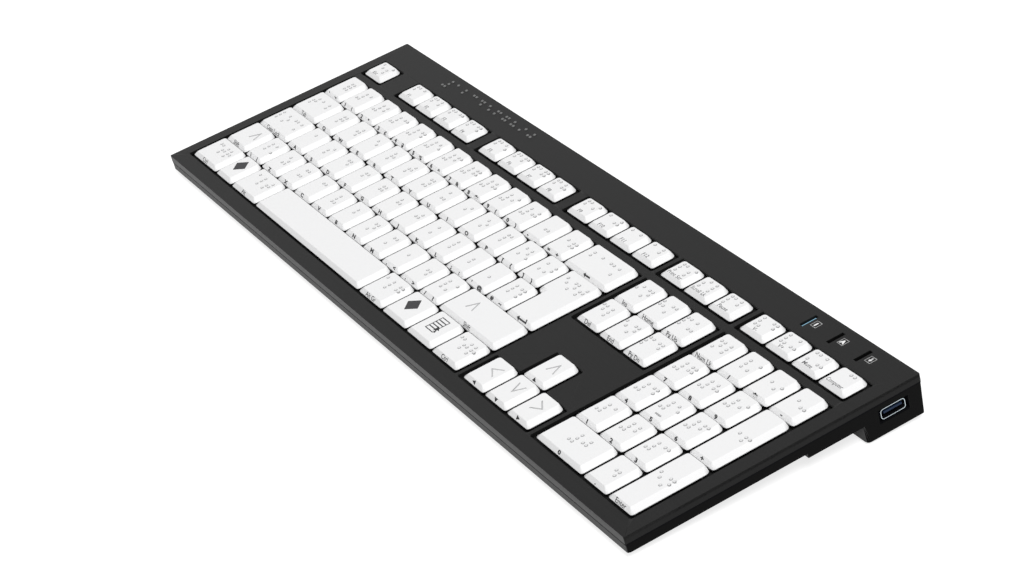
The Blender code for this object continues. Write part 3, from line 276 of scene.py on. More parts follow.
# Keys beside the letter block as node, column, row, width, depth, raised mark and printed legend
NAV_KEYS = [
    ("navigation_keys", 0, 4, 1, 1, "in", "Ins"), ("navigation_keys", 1, 4, 1, 1, "hm", "Home"),
    ("navigation_keys", 2, 4, 1, 1, "pu", "Pg Up"), ("navigation_keys", 0, 3, 1, 1, "dl", "Del"),
    ("navigation_keys", 1, 3, 1, 1, "en", "End"), ("navigation_keys", 2, 3, 1, 1, "pd", "Pg Dn"),
    ("arrow_keys", 1, 1, 1, 1, "up", "triangle"), ("arrow_keys", 0, 0, 1, 1, "left", "triangle"),
    ("arrow_keys", 1, 0, 1, 1, "down", "triangle"), ("arrow_keys", 2, 0, 1, 1, "right", "triangle")]
PAD_KEYS = [
    ("numpad_keys", 0, 4, 1, 1, "nl", "Num Lk"), ("numpad_keys", 1, 4, 1, 1, "/", "/"),
    ("numpad_keys", 2, 4, 1, 1, "*", "*"), ("numpad_keys", 3, 4, 1, 1, "minus", "-"),
    ("numpad_keys", 0, 3, 1, 1, "7", "7"), ("numpad_keys", 1, 3, 1, 1, "8", "8"),
    ("numpad_keys", 2, 3, 1, 1, "9", "9"), ("numpad_keys", 3, 2, 1, 2, "+", "+"),
    ("numpad_keys", 0, 2, 1, 1, "4", "4"), ("numpad_keys", 1, 2, 1, 1, "5", "5"),
    ("numpad_keys", 2, 2, 1, 1, "6", "6"), ("numpad_keys", 0, 1, 1, 1, "1", "1"),
    ("numpad_keys", 1, 1, 1, 1, "2", "2"), ("numpad_keys", 2, 1, 1, 1, "3", "3"),
    ("numpad_keys", 3, 0, 1, 2, "en", "Enter"), ("numpad_keys", 0, 0, 2, 1, "0", "0"),
    ("numpad_keys", 2, 0, 1, 1, ".", ".")]

# Function row groups as node, left edge, raised marks and printed legends
FUNCTION_GROUPS = [
    ("escape_key", 0, ["es"], ["Esc"]),
    ("f1_to_f4_keys", 2 * PITCH, ["fa", "fb", "fc", "fd"], ["F1", "F2", "F3", "F4"]),
    ("f5_to_f8_keys", 6.5 * PITCH, ["fe", "ff", "fg", "fh"], ["F5", "F6", "F7", "F8"]),
    ("f9_to_f12_keys", 11 * PITCH, ["fi", "aj", "aa", "ab"], ["F9", "F10", "F11", "F12"]),
    ("system_keys", NAV_LEFT, ["ps", "sl", "pb"], ["Print Scr", "Scroll Lk", "Pause"]),
    ("media_keys", PAD_LEFT, ["vd", "vu", "mu", "c"], ["V-", "V+", "Mute", "Computer"])]


class Key:
    """One keycap's cell on the grid, with what is raised and printed on it."""

    def __init__(self, left, front, width, depth, marks, legends,
                 front_slope=FRONT_SLOPE, rear_slope=REAR_SLOPE):
        self.left, self.front = left, front
        self.right, self.rear = left + width, front + depth
        self.marks, self.legends = marks, legends
        self.front_slope, self.rear_slope = front_slope, rear_slope
        self.shift_x, self.shift_y = GROUP_SHIFT_X, TEXT_SHIFT_Y
        self.cell_pitch = CELL_PITCH
        self.step = 0
        self.behind = False

    def middle(self):
        return (self.left + self.right) / 2, (self.front + self.rear) / 2

    def corners(self):
        """Corners of the cap's base, anticlockwise from the front left."""
        left, right = self.left + GAP_X / 2, self.right - GAP_X / 2
        front, rear = self.front + GAP_Y / 2, self.rear - GAP_Y / 2
        if not self.step:
            return [(left, front), (right, front), (right, rear), (left, rear)]
        step_y = (self.front + self.rear) / 2 + GAP_Y / 2
        return [(left + self.step, front), (right, front), (right, rear), (left, rear),
                (left, step_y), (left + self.step, step_y)]


def all_keys():
    """The keys of each node."""
    nodes = {}
    for row, entries in enumerate(MAIN_ROWS):
        left = 0
        for node, units, marks, legends in entries:
            key = Key(left, row * PITCH, units * PITCH, PITCH, marks, legends)
            key.behind = row > 0
            if row == 0:
                key.shift_y = BOTTOM_ROW_SHIFT_Y
                key.cell_pitch = CELL_PITCH_TIGHT
            nodes.setdefault(node, []).append(key)
            left += units * PITCH
    enter = Key((MAIN_UNITS - 1.5) * PITCH, 2 * PITCH, 1.5 * PITCH, 2 * PITCH, "ent", ["enter arrow"])
    enter.step = 0.25 * PITCH
    enter.behind = True
    enter.shift_y = TEXT_SHIFT_Y + PITCH / 2
    nodes["enter_key"] = [enter]
    for block_left, entries in ((NAV_LEFT, NAV_KEYS), (PAD_LEFT, PAD_KEYS)):
        for node, column, row, width, depth, marks, legend in entries:
            key = Key(block_left + column * PITCH, row * PITCH, width * PITCH, depth * PITCH,
                      marks, [legend])
            key.behind = row > 0 and (node, row) != ("navigation_keys", 3)
            if node == "navigation_keys":
                key.shift_x = NAV_SHIFT_X
            nodes.setdefault(node, []).append(key)
    for node, left, marks_list, legends in FUNCTION_GROUPS:
        nodes[node] = [Key(left + place * PITCH, FUNCTION_FRONT, PITCH, FUNCTION_CAP_DEPTH, marks,
                           [legends[place]], FUNCTION_SLOPE, FUNCTION_REAR_SLOPE)
                       for place, marks in enumerate(marks_list)]
    return nodes


# Mesh helpers

def add_box(bm, low, high):
    low, high = Vector(low), Vector(high)
    place = Matrix.Translation((low + high) / 2) @ Matrix.Diagonal((*(high - low), 1))
    return bmesh.ops.create_cube(bm, size=1, matrix=place)["verts"]


def push_face(bm, face, move):
    """Draws a face out along a vector and leaves no face behind it."""
    grown = bmesh.ops.extrude_face_region(bm, geom=[face])["geom"]
    bmesh.ops.delete(bm, geom=[face], context="FACES_ONLY")
    face = next(item for item in grown if isinstance(item, bmesh.types.BMFace))
    bmesh.ops.translate(bm, verts=face.verts, vec=move)
    return face


def bevel_edges(bm, edges, width, segments):
    bmesh.ops.bevel(bm, geom=edges, offset=width, offset_type="OFFSET", segments=segments,
                    profile=0.5, affect="EDGES", clamp_overlap=True, material=-1)


def rounded_face(bm, corners, height, radius, segments):
    """A flat face with rounded corners."""
    base = [bm.verts.new((x, y, height)) for x, y in corners]
    bm.faces.new(base)
    cut = bmesh.ops.bevel(bm, geom=base, offset=radius, offset_type="OFFSET", segments=segments,
                          profile=0.5, affect="VERTICES", clamp_overlap=True, material=-1)
    return cut["verts"][0].link_faces[0]


def rounded_outline(corners, radius, segments):
    """The points of a rounded outline, in order."""
    bm = bmesh.new()
    face = rounded_face(bm, corners, 0, radius, segments)
    points = [tuple(vert.co.xy) for vert in face.verts]
    bm.free()
    return points


def bevel_block(bm, verts, width, segments):
    """Rounds every edge between these vertices."""
    bevel_edges(bm, list({edge for vert in verts for edge in vert.link_edges}), width, segments)


def join_mesh(bm, other):
    """Adds another bmesh to this one and frees it."""
    mesh = bpy.data.meshes.new("joined")
    other.to_mesh(mesh)
    other.free()
    bm.from_mesh(mesh)


def rectangle(left, front, right, rear):
    return [(left, front), (right, front), (right, rear), (left, rear)]


def add_prism(bm, outline, low, high):
    """A flat outline drawn upwards into a solid, and its top face."""
    face = bm.faces.new([bm.verts.new((x, y, low)) for x, y in outline])
    grown = bmesh.ops.extrude_face_region(bm, geom=[face])["geom"]
    top = next(item for item in grown if isinstance(item, bmesh.types.BMFace))
    bmesh.ops.translate(bm, verts=top.verts, vec=(0, 0, high - low))
    return top, list(face.verts) + list(top.verts)


def make_piece(bm, name, body, materials, nodes=(), drop=0):
    """Turns a bmesh in the keyboard's plane, or a drop below it, into a piece that rides on a body."""
    bmesh.ops.recalc_face_normals(bm, faces=bm.faces)
    for face in bm.faces:
        face.smooth = face.calc_area() < SMOOTH_AREA
    bmesh.ops.transform(bm, matrix=KEYBOARD @ Matrix.Translation((0, 0, -drop)), verts=bm.verts)
    mesh = bpy.data.meshes.new(name)
    bm.to_mesh(mesh)
    bm.free()
    for material in materials:
        mesh.materials.append(material)
    piece = bpy.data.objects.new(name, mesh)
    bpy.context.scene.collection.objects.link(piece)
    if nodes:
        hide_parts(*nodes)
    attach(piece, body)
    return piece


# Materials

def new_material(name, colour, roughness, metallic=0.0, specular=0.5):
    """A Principled material, and its node tree and shader for more nodes."""
    material = bpy.data.materials.new(name)
    material.use_nodes = True
    tree = material.node_tree
    shader = tree.nodes["Principled BSDF"]
    shader.inputs["Base Color"].default_value = (*colour, 1)
    shader.inputs["Roughness"].default_value = roughness
    shader.inputs["Metallic"].default_value = metallic
    shader.inputs["Specular IOR Level"].default_value = specular
    material.diffuse_color = (*colour, 1)
    return material, tree, shader


def pattern(tree, scale, stretch=(1, 1, 1), detail=2.0):
    """A noise on the object's own coordinates."""
    coordinates = tree.nodes.new("ShaderNodeTexCoord")
    mapping = tree.nodes.new("ShaderNodeMapping")
    mapping.inputs["Scale"].default_value = stretch
    noise = tree.nodes.new("ShaderNodeTexNoise")
    noise.inputs["Scale"].default_value = scale
    noise.inputs["Detail"].default_value = detail
    tree.links.new(coordinates.outputs["Object"], mapping.inputs["Vector"])
    tree.links.new(mapping.outputs["Vector"], noise.inputs["Vector"])
    return noise.outputs["Fac"]


def vary_colour(tree, shader, factor, dark, light):
    mix = tree.nodes.new("ShaderNodeMix")
    mix.data_type = "RGBA"
    mix.inputs["A"].default_value = (*dark, 1)
    mix.inputs["B"].default_value = (*light, 1)
    tree.links.new(factor, mix.inputs["Factor"])
    tree.links.new(mix.outputs["Result"], shader.inputs["Base Color"])
    return mix.outputs["Result"]


def vary_roughness(tree, shader, factor, low, high):
    spread = tree.nodes.new("ShaderNodeMapRange")
    spread.inputs["To Min"].default_value = low
    spread.inputs["To Max"].default_value = high
    tree.links.new(factor, spread.inputs["Value"])
    tree.links.new(spread.outputs["Result"], shader.inputs["Roughness"])


def add_bump(tree, shader, height, depth, strength):
    bump = tree.nodes.new("ShaderNodeBump")
    bump.inputs["Distance"].default_value = depth
    bump.inputs["Strength"].default_value = strength
    tree.links.new(height, bump.inputs["Height"])
    tree.links.new(bump.outputs["Normal"], shader.inputs["Normal"])


def cap_plastic():
    """White plastic with the fine spark grain of a keycap."""
    material, tree, shader = new_material("white_key_plastic_look", (0.87, 0.87, 0.875), 0.5, specular=0.3)
    grain = pattern(tree, 2200, detail=3)
    vary_colour(tree, shader, grain, (0.85, 0.85, 0.855), (0.89, 0.89, 0.893))
    vary_roughness(tree, shader, grain, 0.45, 0.6)
    add_bump(tree, shader, grain, 0.05 * mm, 0.35)
    return material


def case_plastic(name, level, front_painted_light, specular):
    """Charcoal plastic, brushed along the keyboard in very fine lines, with painted light making it paler
    on faces turned to the front.
    """
    material, tree, shader = new_material(name, (level, level, level), 0.42, specular=specular)
    lines = pattern(tree, 60, (0.12, 60, 60), detail=4)
    brushed = vary_colour(tree, shader, lines, [level * 0.5] * 3, [level * 1.5] * 3)
    # Painted light: by the normal, faces turned to the front are mixed towards a paler level.
    coordinates = tree.nodes.new("ShaderNodeTexCoord")
    split = tree.nodes.new("ShaderNodeSeparateXYZ")
    front_light_mask = tree.nodes.new("ShaderNodeMapRange")
    front_light_mask.inputs["From Min"].default_value = -0.8
    front_light_mask.inputs["From Max"].default_value = -0.95
    mix = tree.nodes.new("ShaderNodeMix")
    mix.data_type = "RGBA"
    mix.inputs["B"].default_value = (front_painted_light, front_painted_light, front_painted_light, 1)
    tree.links.new(coordinates.outputs["Normal"], split.inputs["Vector"])
    tree.links.new(split.outputs["Y"], front_light_mask.inputs["Value"])
    tree.links.new(front_light_mask.outputs["Result"], mix.inputs["Factor"])
    tree.links.new(brushed, mix.inputs["A"])
    tree.links.new(mix.outputs["Result"], shader.inputs["Base Color"])
    vary_roughness(tree, shader, lines, 0.36, 0.5)
    add_bump(tree, shader, lines, 0.03 * mm, 0.3)
    return material


def grained(name, colour, roughness, metallic=0.0, specular=0.5, scale=900, spread=0.12, depth=0.04 * mm):
    """A plain finish with a little unevenness in colour, gloss and surface."""
    material, tree, shader = new_material(name, colour, roughness, metallic, specular)
    grain = pattern(tree, scale, detail=3)
    vary_colour(tree, shader, grain, [part * (1 - spread) for part in colour],
                [min(1, part * (1 + spread)) for part in colour])
    vary_roughness(tree, shader, grain, roughness * 0.85, min(1, roughness * 1.15))
    add_bump(tree, shader, grain, depth, 0.3)
    return material


def lit_window():
    material, tree, shader = new_material("lit_window_look", (0.1, 0.25, 0.35), 0.3)
    glow = pattern(tree, 400)
    vary_roughness(tree, shader, glow, 0.25, 0.35)
    shader.inputs["Emission Color"].default_value = (0.26, 0.44, 0.56, 1)
    shader.inputs["Emission Strength"].default_value = 1.0
    return material


# Keycaps

def inward(corners, place, key):
    """How far the slopes carry one corner of the base in towards the flat top."""
    move_x, move_y = 0, 0
    following = corners[(place + 1) % len(corners)]
    for start, end in ((corners[place - 1], corners[place]), (corners[place], following)):
        run_x, run_y = end[0] - start[0], end[1] - start[1]
        if abs(run_x) > abs(run_y):
            move_y = key.front_slope if run_x > 0 else -key.rear_slope
        else:
            move_x = -RIGHT_SLOPE if run_y > 0 else LEFT_SLOPE
    return Vector((move_x, move_y))


def add_cap(bm, key):
    """One keycap: hollow skirt, slopes that turn sharper towards the top, and a flat top."""
    corners = key.corners()
    bottom = rounded_face(bm, corners, -CAP_SKIRT, BASE_CORNER, CAP_CORNER_STEPS)
    for vert in bottom.verts:
        corner = min((Vector(corner) for corner in corners), key=lambda spot: (vert.co.xy - spot).length)
        if corner.y < key.middle()[1]:
            vert.co.x, vert.co.y = corner + (vert.co.xy - corner) * FRONT_BASE_SHARE
    grown = bmesh.ops.extrude_face_region(bm, geom=[bottom])["geom"]
    waist = next(item for item in grown if isinstance(item, bmesh.types.BMFace))
    bmesh.ops.translate(bm, verts=waist.verts, vec=(0, 0, CAP_SKIRT))
    top = push_face(bm, waist, (0, 0, CAP_HEIGHT))
    for vert in top.verts:
        place = min(range(len(corners)), key=lambda i: (vert.co.xy - Vector(corners[i])).length)
        corner = Vector(corners[place])
        share = FRONT_CORNER_SHARE if corner.y < key.middle()[1] else REAR_CORNER_SHARE
        moved = corner + inward(corners, place, key) + (vert.co.xy - corner) * share
        vert.co.x, vert.co.y = moved
    bmesh.ops.inset_region(bm, faces=[bottom], thickness=CAP_WALL, use_even_offset=True)
    push_face(bm, bottom, (0, 0, CAP_HOLLOW))
    bevel_edges(bm, list(top.edges), CAP_EDGE, 2)
    if key.behind:
        left, right = corners[0][0] + BASE_CORNER, corners[1][0] - BASE_CORNER
        add_box(bm, (left, corners[0][1], -FRONT_SKIRT), (right, corners[0][1] + CAP_WALL, -CAP_SKIRT))


def add_posts(bm, key):
    """The plunger, and guide posts near both ends of a long key."""
    x, y = key.middle()
    x += key.step / 2
    half = POST_WIDTH / 2
    roots = [(x, y)]
    long_x, long_y = (key.right - key.left - PITCH) / 2, (key.rear - key.front - PITCH) / 2
    if long_x > LONG_KEY_SHARE * PITCH:
        roots += [(x - long_x, y), (x + long_x, y)]
    if long_y > LONG_KEY_SHARE * PITCH and not key.step:
        roots += [(x, y - long_y), (x, y + long_y)]
    for place, (post_x, post_y) in enumerate(roots):
        width = half if place == 0 else half * GUIDE_SHARE
        add_box(bm, (post_x - width, post_y - width, POST_BOTTOM),
                (post_x + width, post_y + width, CAP_HEIGHT / 2))


def braille_cells(marks):
    """The dot numbers of each cell in the text."""
    if marks in SIGN_DOTS:
        return SIGN_DOTS[marks]
    if marks.isdigit():
        return [NUMBER_SIGN, LETTER_DOTS["jabcdefghi"[int(marks)]]]
    return [LETTER_DOTS[letter] for letter in marks]


def cell_dots(cells, x, y, cell_pitch):
    """Places of the dots of a row of cells centred on x and y."""
    first = x - (len(cells) - 1) * cell_pitch / 2
    for place, dots in enumerate(cells):
        for dot in dots:
            column, row = divmod(int(dot) - 1, 3)
            yield (first + place * cell_pitch + (column - 1 / 2) * DOT_SPACING,
                   y + (1 - row) * DOT_SPACING)


def paint(verts, slot):
    """Gives the faces between these vertices a material slot."""
    for face in {face for vert in verts for face in vert.link_faces}:
        face.material_index = slot


def add_dot(bm, x, y, height, slot, lit_crown_slot):
    """A raised dot with its lower half sunk in the plastic, with painted shade: darker grey round the foot
    and a lighter grey on the crown.
    """
    place = Matrix.Translation((x, y, height)) @ Matrix.Diagonal((1, 1, DOT_HEIGHT / DOT_RADIUS, 1))
    ball = bmesh.ops.create_uvsphere(bm, u_segments=10, v_segments=8, radius=DOT_RADIUS, matrix=place)
    verts = ball["verts"]
    paint(verts, slot)
    paint([vert for vert in verts if vert.co.z > height + DOT_HEIGHT * DOT_CROWN_SHARE], lit_crown_slot)


def add_chevron(bm, x, y, heading):
    """An open arrow head, raised from the cap's top, grey with painted shade."""
    sideways = heading[0] != 0
    length = CHEVRON_SIDE_LENGTH if sideways else CHEVRON_LENGTH
    half_width = CHEVRON_SIDE_HALF_WIDTH if sideways else CHEVRON_HALF_WIDTH
    ahead, across = Vector(heading), Vector((-heading[1], heading[0]))
    tip = Vector((x, y)) + ahead * length / 2
    tail = tip - ahead * length
    wide, slim = across * half_width, across * CHEVRON_STROKE
    outline = [tip, tail + wide, tail + wide - slim, tip - ahead * CHEVRON_STROKE * 2,
               tail - wide + slim, tail - wide]
    top, verts = add_prism(bm, outline, CAP_HEIGHT - CHEVRON_HEIGHT, CAP_HEIGHT + CHEVRON_HEIGHT)
    paint(verts, CHEVRON_SHADE_SLOT)
    bevel_edges(bm, list(top.edges), CHEVRON_STROKE / 5, 1)


def add_marks(bm, key):
    x, y = key.middle()
    if key.marks in ARROWS:
        if key.legends == ["Shift"]:
            x = key.left + SHIFT_CHEVRON_INSET
        add_chevron(bm, x + CHEVRON_SHIFT_X, y + CHEVRON_SHIFT_Y, ARROWS[key.marks])
    elif key.marks:
        cells = braille_cells(key.marks)
        x += SINGLE_SHIFT_X if len(cells) == 1 else key.shift_x
        for dot_x, dot_y in cell_dots(cells, x, y + key.shift_y, key.cell_pitch):
            add_dot(bm, dot_x, dot_y, CAP_HEIGHT, DOT_SHADE_SLOT, DOT_LIT_CROWN_SLOT)
    if key.legends == ["5"] and key.left > PAD_LEFT:
        low = (x - HOMING_BAR_HALF_LENGTH, key.front + HOMING_BAR_FRONT, CAP_HEIGHT - HOMING_BAR_FOOT)
        high = (x + HOMING_BAR_HALF_LENGTH, key.front + HOMING_BAR_REAR, CAP_HEIGHT + HOMING_BAR_HEIGHT)
        bar = add_box(bm, low, high)
        # The homing bar takes the dots' grey of painted shade
        paint(bar, DOT_SHADE_SLOT)
        bevel_block(bm, bar, HOMING_BAR_EDGE, 2)


# Printed marks

def letters(text, size, spread, weight):
    """A line of lettering as a mesh, centred, with its capitals standing on y = 0."""
    curve = bpy.data.curves.new("letters", "FONT")
    curve.body = text
    curve.size = size
    curve.align_x = "CENTER"
    curve.resolution_u = 3
    curve.extrude = INK
    curve.offset = size * weight
    holder = bpy.data.objects.new("letters", curve)
    bpy.context.scene.collection.objects.link(holder)
    bpy.context.view_layer.update()
    mesh = bpy.data.meshes.new_from_object(holder.evaluated_get(bpy.context.evaluated_depsgraph_get()))
    bpy.data.objects.remove(holder)
    bpy.data.curves.remove(curve)
    mesh.transform(Matrix.Diagonal((spread, 1, 1, 1)))
    return mesh


def icon(name):
    """Outlines of a printed sign, in millimetres about its middle."""
    if name == "back arrow":
        return [[(-2.9, 0), (-1.2, 1.1), (-1.2, 0.4), (2.7, 0.4), (2.7, -0.4), (-1.2, -0.4), (-1.2, -1.1)]]
    if name == "enter arrow":
        return [[(-4.1, 0), (-2.1, 1.25), (-2.1, 0.4), (3.3, 0.4), (3.3, 1.7), (4.1, 1.7), (4.1, -0.4),
                 (-2.1, -0.4), (-2.1, -1.25)]]
    if name == "diamond":
        return [[(0, -4.6), (4.6, 0), (0, 4.6), (-4.6, 0)]]
    sheet = [rectangle(-3.5, -4.7, -3.0, 4.7), rectangle(3.0, -4.7, 3.5, 4.7),
             rectangle(-3.0, 4.2, 3.0, 4.7), rectangle(-3.0, -4.7, 3.0, -4.2)]
    lines = [rectangle(-3.0, y - 0.3, 3.0, y + 0.3) for y in (-2.5, -0.8, 0.9, 2.6)]
    pointer = [[(1.6, -0.2), (4.9, -2.0), (3.5, -2.3), (4.5, -4.0), (3.9, -4.4), (2.9, -2.7), (1.9, -3.7)]]
    return sheet + lines + pointer


def triangle(heading):
    ahead, across = Vector(heading), Vector((-heading[1], heading[0]))
    points = [ahead * 1.3, across * 1.3 - ahead * 1.05, -across * 1.3 - ahead * 1.05]
    return [[(point.x * 1.1, point.y * 0.8) for point in points]]


def print_mesh(bm, mesh, place, ink_slot):
    """Adds a mesh at a place, in the ink's material slot."""
    mesh.transform(place)
    for face in mesh.polygons:
        face.material_index = ink_slot
    bm.from_mesh(mesh)
    bpy.data.meshes.remove(mesh)


def print_outlines(bm, outlines, place, ink_slot):
    """Adds flat signs of ink at a place."""
    for outline in outlines:
        _, verts = add_prism(bm, [(x * mm, y * mm) for x, y in outline], -INK, INK)
        bmesh.ops.transform(bm, matrix=place, verts=verts)
        paint(verts, ink_slot)


def slope_place(key, x):
    """The middle of the front slope at x, with y up the slope."""
    up = Vector((0, key.front_slope, CAP_HEIGHT)).normalized()
    out = Vector((1, 0, 0)).cross(up)
    middle = Vector((x, key.front + GAP_Y / 2 + key.front_slope / 2, CAP_HEIGHT / 2))
    turn = Matrix((Vector((1, 0, 0)), up, out)).transposed().to_4x4()
    return Matrix.Translation(middle) @ turn


def add_legends(bm, key):
    """Dark print on the front slope, or softer print on the top in the function row."""
    x, y = key.middle()
    if key.front_slope == FUNCTION_SLOPE:
        flat = Matrix.Translation((x, key.front + FUNCTION_LEGEND_Y - FUNCTION_LEGEND_SIZE / 3, CAP_HEIGHT))
        text = letters(key.legends[0], FUNCTION_LEGEND_SIZE, LEGEND_SPREAD, LEGEND_WEIGHT)
        width = 2 * max(vert.co.x for vert in text.vertices)
        text.transform(Matrix.Diagonal((min(1, FUNCTION_LEGEND_WIDTH / width), 1, 1, 1)))
        print_mesh(bm, text, flat, SOFT_INK_SLOT)
        return
    if key.legends == ["triangle"]:
        print_outlines(bm, triangle(ARROWS[key.marks]), slope_place(key, x), INK_SLOT)
        return
    if key.legends in (["diamond"], ["menu"]):
        place = Matrix.Translation((x, y + TOP_SIGN_SHIFT_Y, CAP_HEIGHT))
        print_outlines(bm, icon(key.legends[0]), place, INK_SLOT)
        return
    if key.legends in (["back arrow"], ["enter arrow"]):
        shift = ENTER_ARROW_SHIFT_X if key.step else BACK_ARROW_SHIFT_X
        print_outlines(bm, icon(key.legends[0]), slope_place(key, x + key.step / 2 + shift), INK_SLOT)
        return
    spots = [x] if len(key.legends) == 1 else [x - LEGEND_PAIR, x + LEGEND_PAIR]
    for spot, text in zip(spots, key.legends):
        if len(text) == 1:
            legend = letters(text, SIGN_SIZE, SIGN_SPREAD, SIGN_WEIGHT)
        else:
            legend = letters(text, LEGEND_SIZE, LEGEND_SPREAD, LEGEND_WEIGHT)
        if text == "*":
            heights = [vert.co.y for vert in legend.vertices]
            legend.transform(Matrix.Translation((0, -(min(heights) + max(heights)) / 2, 0)))
            legend.transform(Matrix.Scale(STAR_GROWTH, 4))
            down = 0
        else:
            down = (SIGN_SIZE if len(text) == 1 else LEGEND_SIZE) * CAPITAL_SHARE
        print_mesh(bm, legend, slope_place(key, spot) @ Matrix.Translation((0, -down, 0)), INK_SLOT)


def build_keys(materials):
    for node, keys in all_keys().items():
        bm = bmesh.new()
        for key in keys:
            add_cap(bm, key)
            add_posts(bm, key)
            add_marks(bm, key)
            add_legends(bm, key)
        make_piece(bm, node + "_caps", node, materials, [node], KEY_DROP)


# Case

def plate_with_holes(outer, holes, low, high, edge):
    """A flat plate with rounded edges, cut by holes, from one filled curve."""
    curve = bpy.data.curves.new("plate", "CURVE")
    curve.dimensions = "2D"
    curve.fill_mode = "BOTH"
    curve.extrude = (high - low) / 2 - edge
    curve.bevel_depth = edge
    curve.bevel_resolution = 1
    curve.offset = -edge
    for outline in [outer] + holes:
        spline = curve.splines.new("POLY")
        spline.points.add(len(outline) - 1)
        for point, (x, y) in zip(spline.points, outline):
            point.co = (x, y, 0, 1)
        spline.use_cyclic_u = True
    holder = bpy.data.objects.new("plate", curve)
    bpy.context.scene.collection.objects.link(holder)
    bpy.context.view_layer.update()
    mesh = bpy.data.meshes.new_from_object(holder.evaluated_get(bpy.context.evaluated_depsgraph_get()))
    bpy.data.objects.remove(holder)
    bpy.data.curves.remove(curve)
    bm = bmesh.new()
    bm.from_mesh(mesh)
    bmesh.ops.remove_doubles(bm, verts=bm.verts, dist=0.01 * mm)
    bmesh.ops.translate(bm, verts=bm.verts, vec=(0, 0, (low + high) / 2))
    return bm


def well_outlines():
    """The outline of each key well, the inverted T of the arrows among them."""
    boxes = [(-WELL_LEFT_MARGIN, 0, MAIN_UNITS * PITCH, MAIN_REAR),
             (PAD_LEFT - WELL_LEFT_MARGIN, 0, PAD_LEFT + 4 * PITCH, MAIN_REAR),
             (NAV_LEFT - WELL_LEFT_MARGIN, 3 * PITCH, NAV_LEFT + 3 * PITCH, MAIN_REAR)]
    for _, left, marks, _ in FUNCTION_GROUPS:
        boxes.append((left - FUNCTION_LEFT_MARGIN, FUNCTION_FRONT,
                      left + len(marks) * PITCH, FUNCTION_FRONT + FUNCTION_DEPTH))
    outlines = [rounded_outline(rectangle(left, front - WELL_FRONT_MARGIN,
                                          right + WELL_RIGHT_MARGIN, rear + WELL_REAR_MARGIN),
                                WELL_CORNER, WELL_CORNER_STEPS) for left, front, right, rear in boxes]
    left, right = NAV_LEFT - WELL_LEFT_MARGIN, NAV_LEFT + 3 * PITCH + WELL_RIGHT_MARGIN
    inner_left, inner_right = left + PITCH, right - PITCH
    shoulder, top = PITCH + WELL_REAR_MARGIN, 2 * PITCH + WELL_REAR_MARGIN
    arrows = [(left, -WELL_FRONT_MARGIN), (right, -WELL_FRONT_MARGIN), (right, shoulder),
              (inner_right, shoulder), (inner_right, top), (inner_left, top),
              (inner_left, shoulder), (left, shoulder)]
    outlines.append(rounded_outline(arrows, WELL_CORNER, WELL_CORNER_STEPS))
    return outlines


def lamp_centres():
    return [PAD_LEFT + LAMP_START + place * LAMP_PITCH for place in range(LAMP_COUNT)]


def case_outline(growth, corner):
    """The case seen from above, grown outwards or, below zero, drawn in."""
    box = rectangle(CASE_LEFT - growth, CASE_FRONT - growth, CASE_RIGHT + growth, CASE_REAR + growth)
    return rounded_outline(box, corner, CASE_CORNER_STEPS)


def build_top_cover(plastic):
    outer = case_outline(CASE_LAP, CASE_CORNER)
    slots = [rectangle(x - LAMP_HALF_WIDTH, LAMP_FRONT, x + LAMP_HALF_WIDTH, LAMP_REAR)
             for x in lamp_centres()]
    bm = plate_with_holes(outer, well_outlines() + slots, BEZEL_UNDERSIDE, BEZEL_TOP, CASE_EDGE)
    inner = case_outline(-COVER_WALL, CASE_CORNER / 2)
    join_mesh(bm, plate_with_holes(outer, [inner], SEAM_TOP, BEZEL_TOP - CASE_EDGE, CASE_LAP / 5))
    make_piece(bm, "top_cover_shell", "case", [plastic], ["top_cover"])


def build_seam(dark):
    """A band of painted shade for the groove between the two covers, under the skirt of the upper one."""
    inner = case_outline(-COVER_WALL, CASE_CORNER / 2)
    bm = plate_with_holes(case_outline(CASE_LAP / 2, CASE_CORNER), [inner],
                          SEAM_TOP - SEAM_DEPTH, SEAM_TOP, CASE_LAP / 5)
    make_piece(bm, "cover_seam_painted_shade", "case", [dark])


def build_lamps(lit, dark):
    """The bars in the slots, the first of them lit, with the web, legs and painted shade on the slot sides.
    """
    centres = lamp_centres()
    half = LAMP_HALF_WIDTH - LAMP_PLAY
    shade_sheet_top = BEZEL_TOP - LAMP_SHADE_SHEET_DROP
    bm = bmesh.new()
    middle = (LAMP_FRONT + LAMP_REAR) / 2
    add_box(bm, (centres[0] - LAMP_WEB_HALF_WIDTH, middle - LAMP_WEB_HALF_WIDTH, LAMP_WEB_UNDERSIDE),
            (centres[-1] + LAMP_WEB_HALF_WIDTH, middle + LAMP_WEB_HALF_WIDTH, LAMP_WEB_TOP))
    for place, x in enumerate(centres):
        bar = add_box(bm, (x - half, LAMP_FRONT + LAMP_PLAY, LAMP_BAR_UNDERSIDE),
                      (x + half, LAMP_REAR - LAMP_PLAY, LAMP_BAR_TOP if place else LIT_BAR_TOP))
        paint(bar, 0 if place else 1)
        bevel_block(bm, bar, LAMP_BAR_EDGE, 2)
        add_box(bm, (x - half, middle - LAMP_LEG_HALF_WIDTH, LAMP_LEG_FOOT),
                (x + half, middle + LAMP_LEG_HALF_WIDTH, LAMP_LEG_TOP))
        # Painted shade: dark sheets on the left and rear sides of the slot
        add_box(bm, (x - LAMP_HALF_WIDTH, LAMP_FRONT, BEZEL_UNDERSIDE),
                (x - LAMP_HALF_WIDTH + LAMP_SHADE_SHEET, LAMP_REAR, shade_sheet_top))
        add_box(bm, (x - LAMP_HALF_WIDTH, LAMP_REAR - LAMP_SHADE_SHEET, BEZEL_UNDERSIDE),
                (x + LAMP_HALF_WIDTH, LAMP_REAR, shade_sheet_top))
    make_piece(bm, "lamp_bars", "case", [dark, lit], ["light_pipe"])


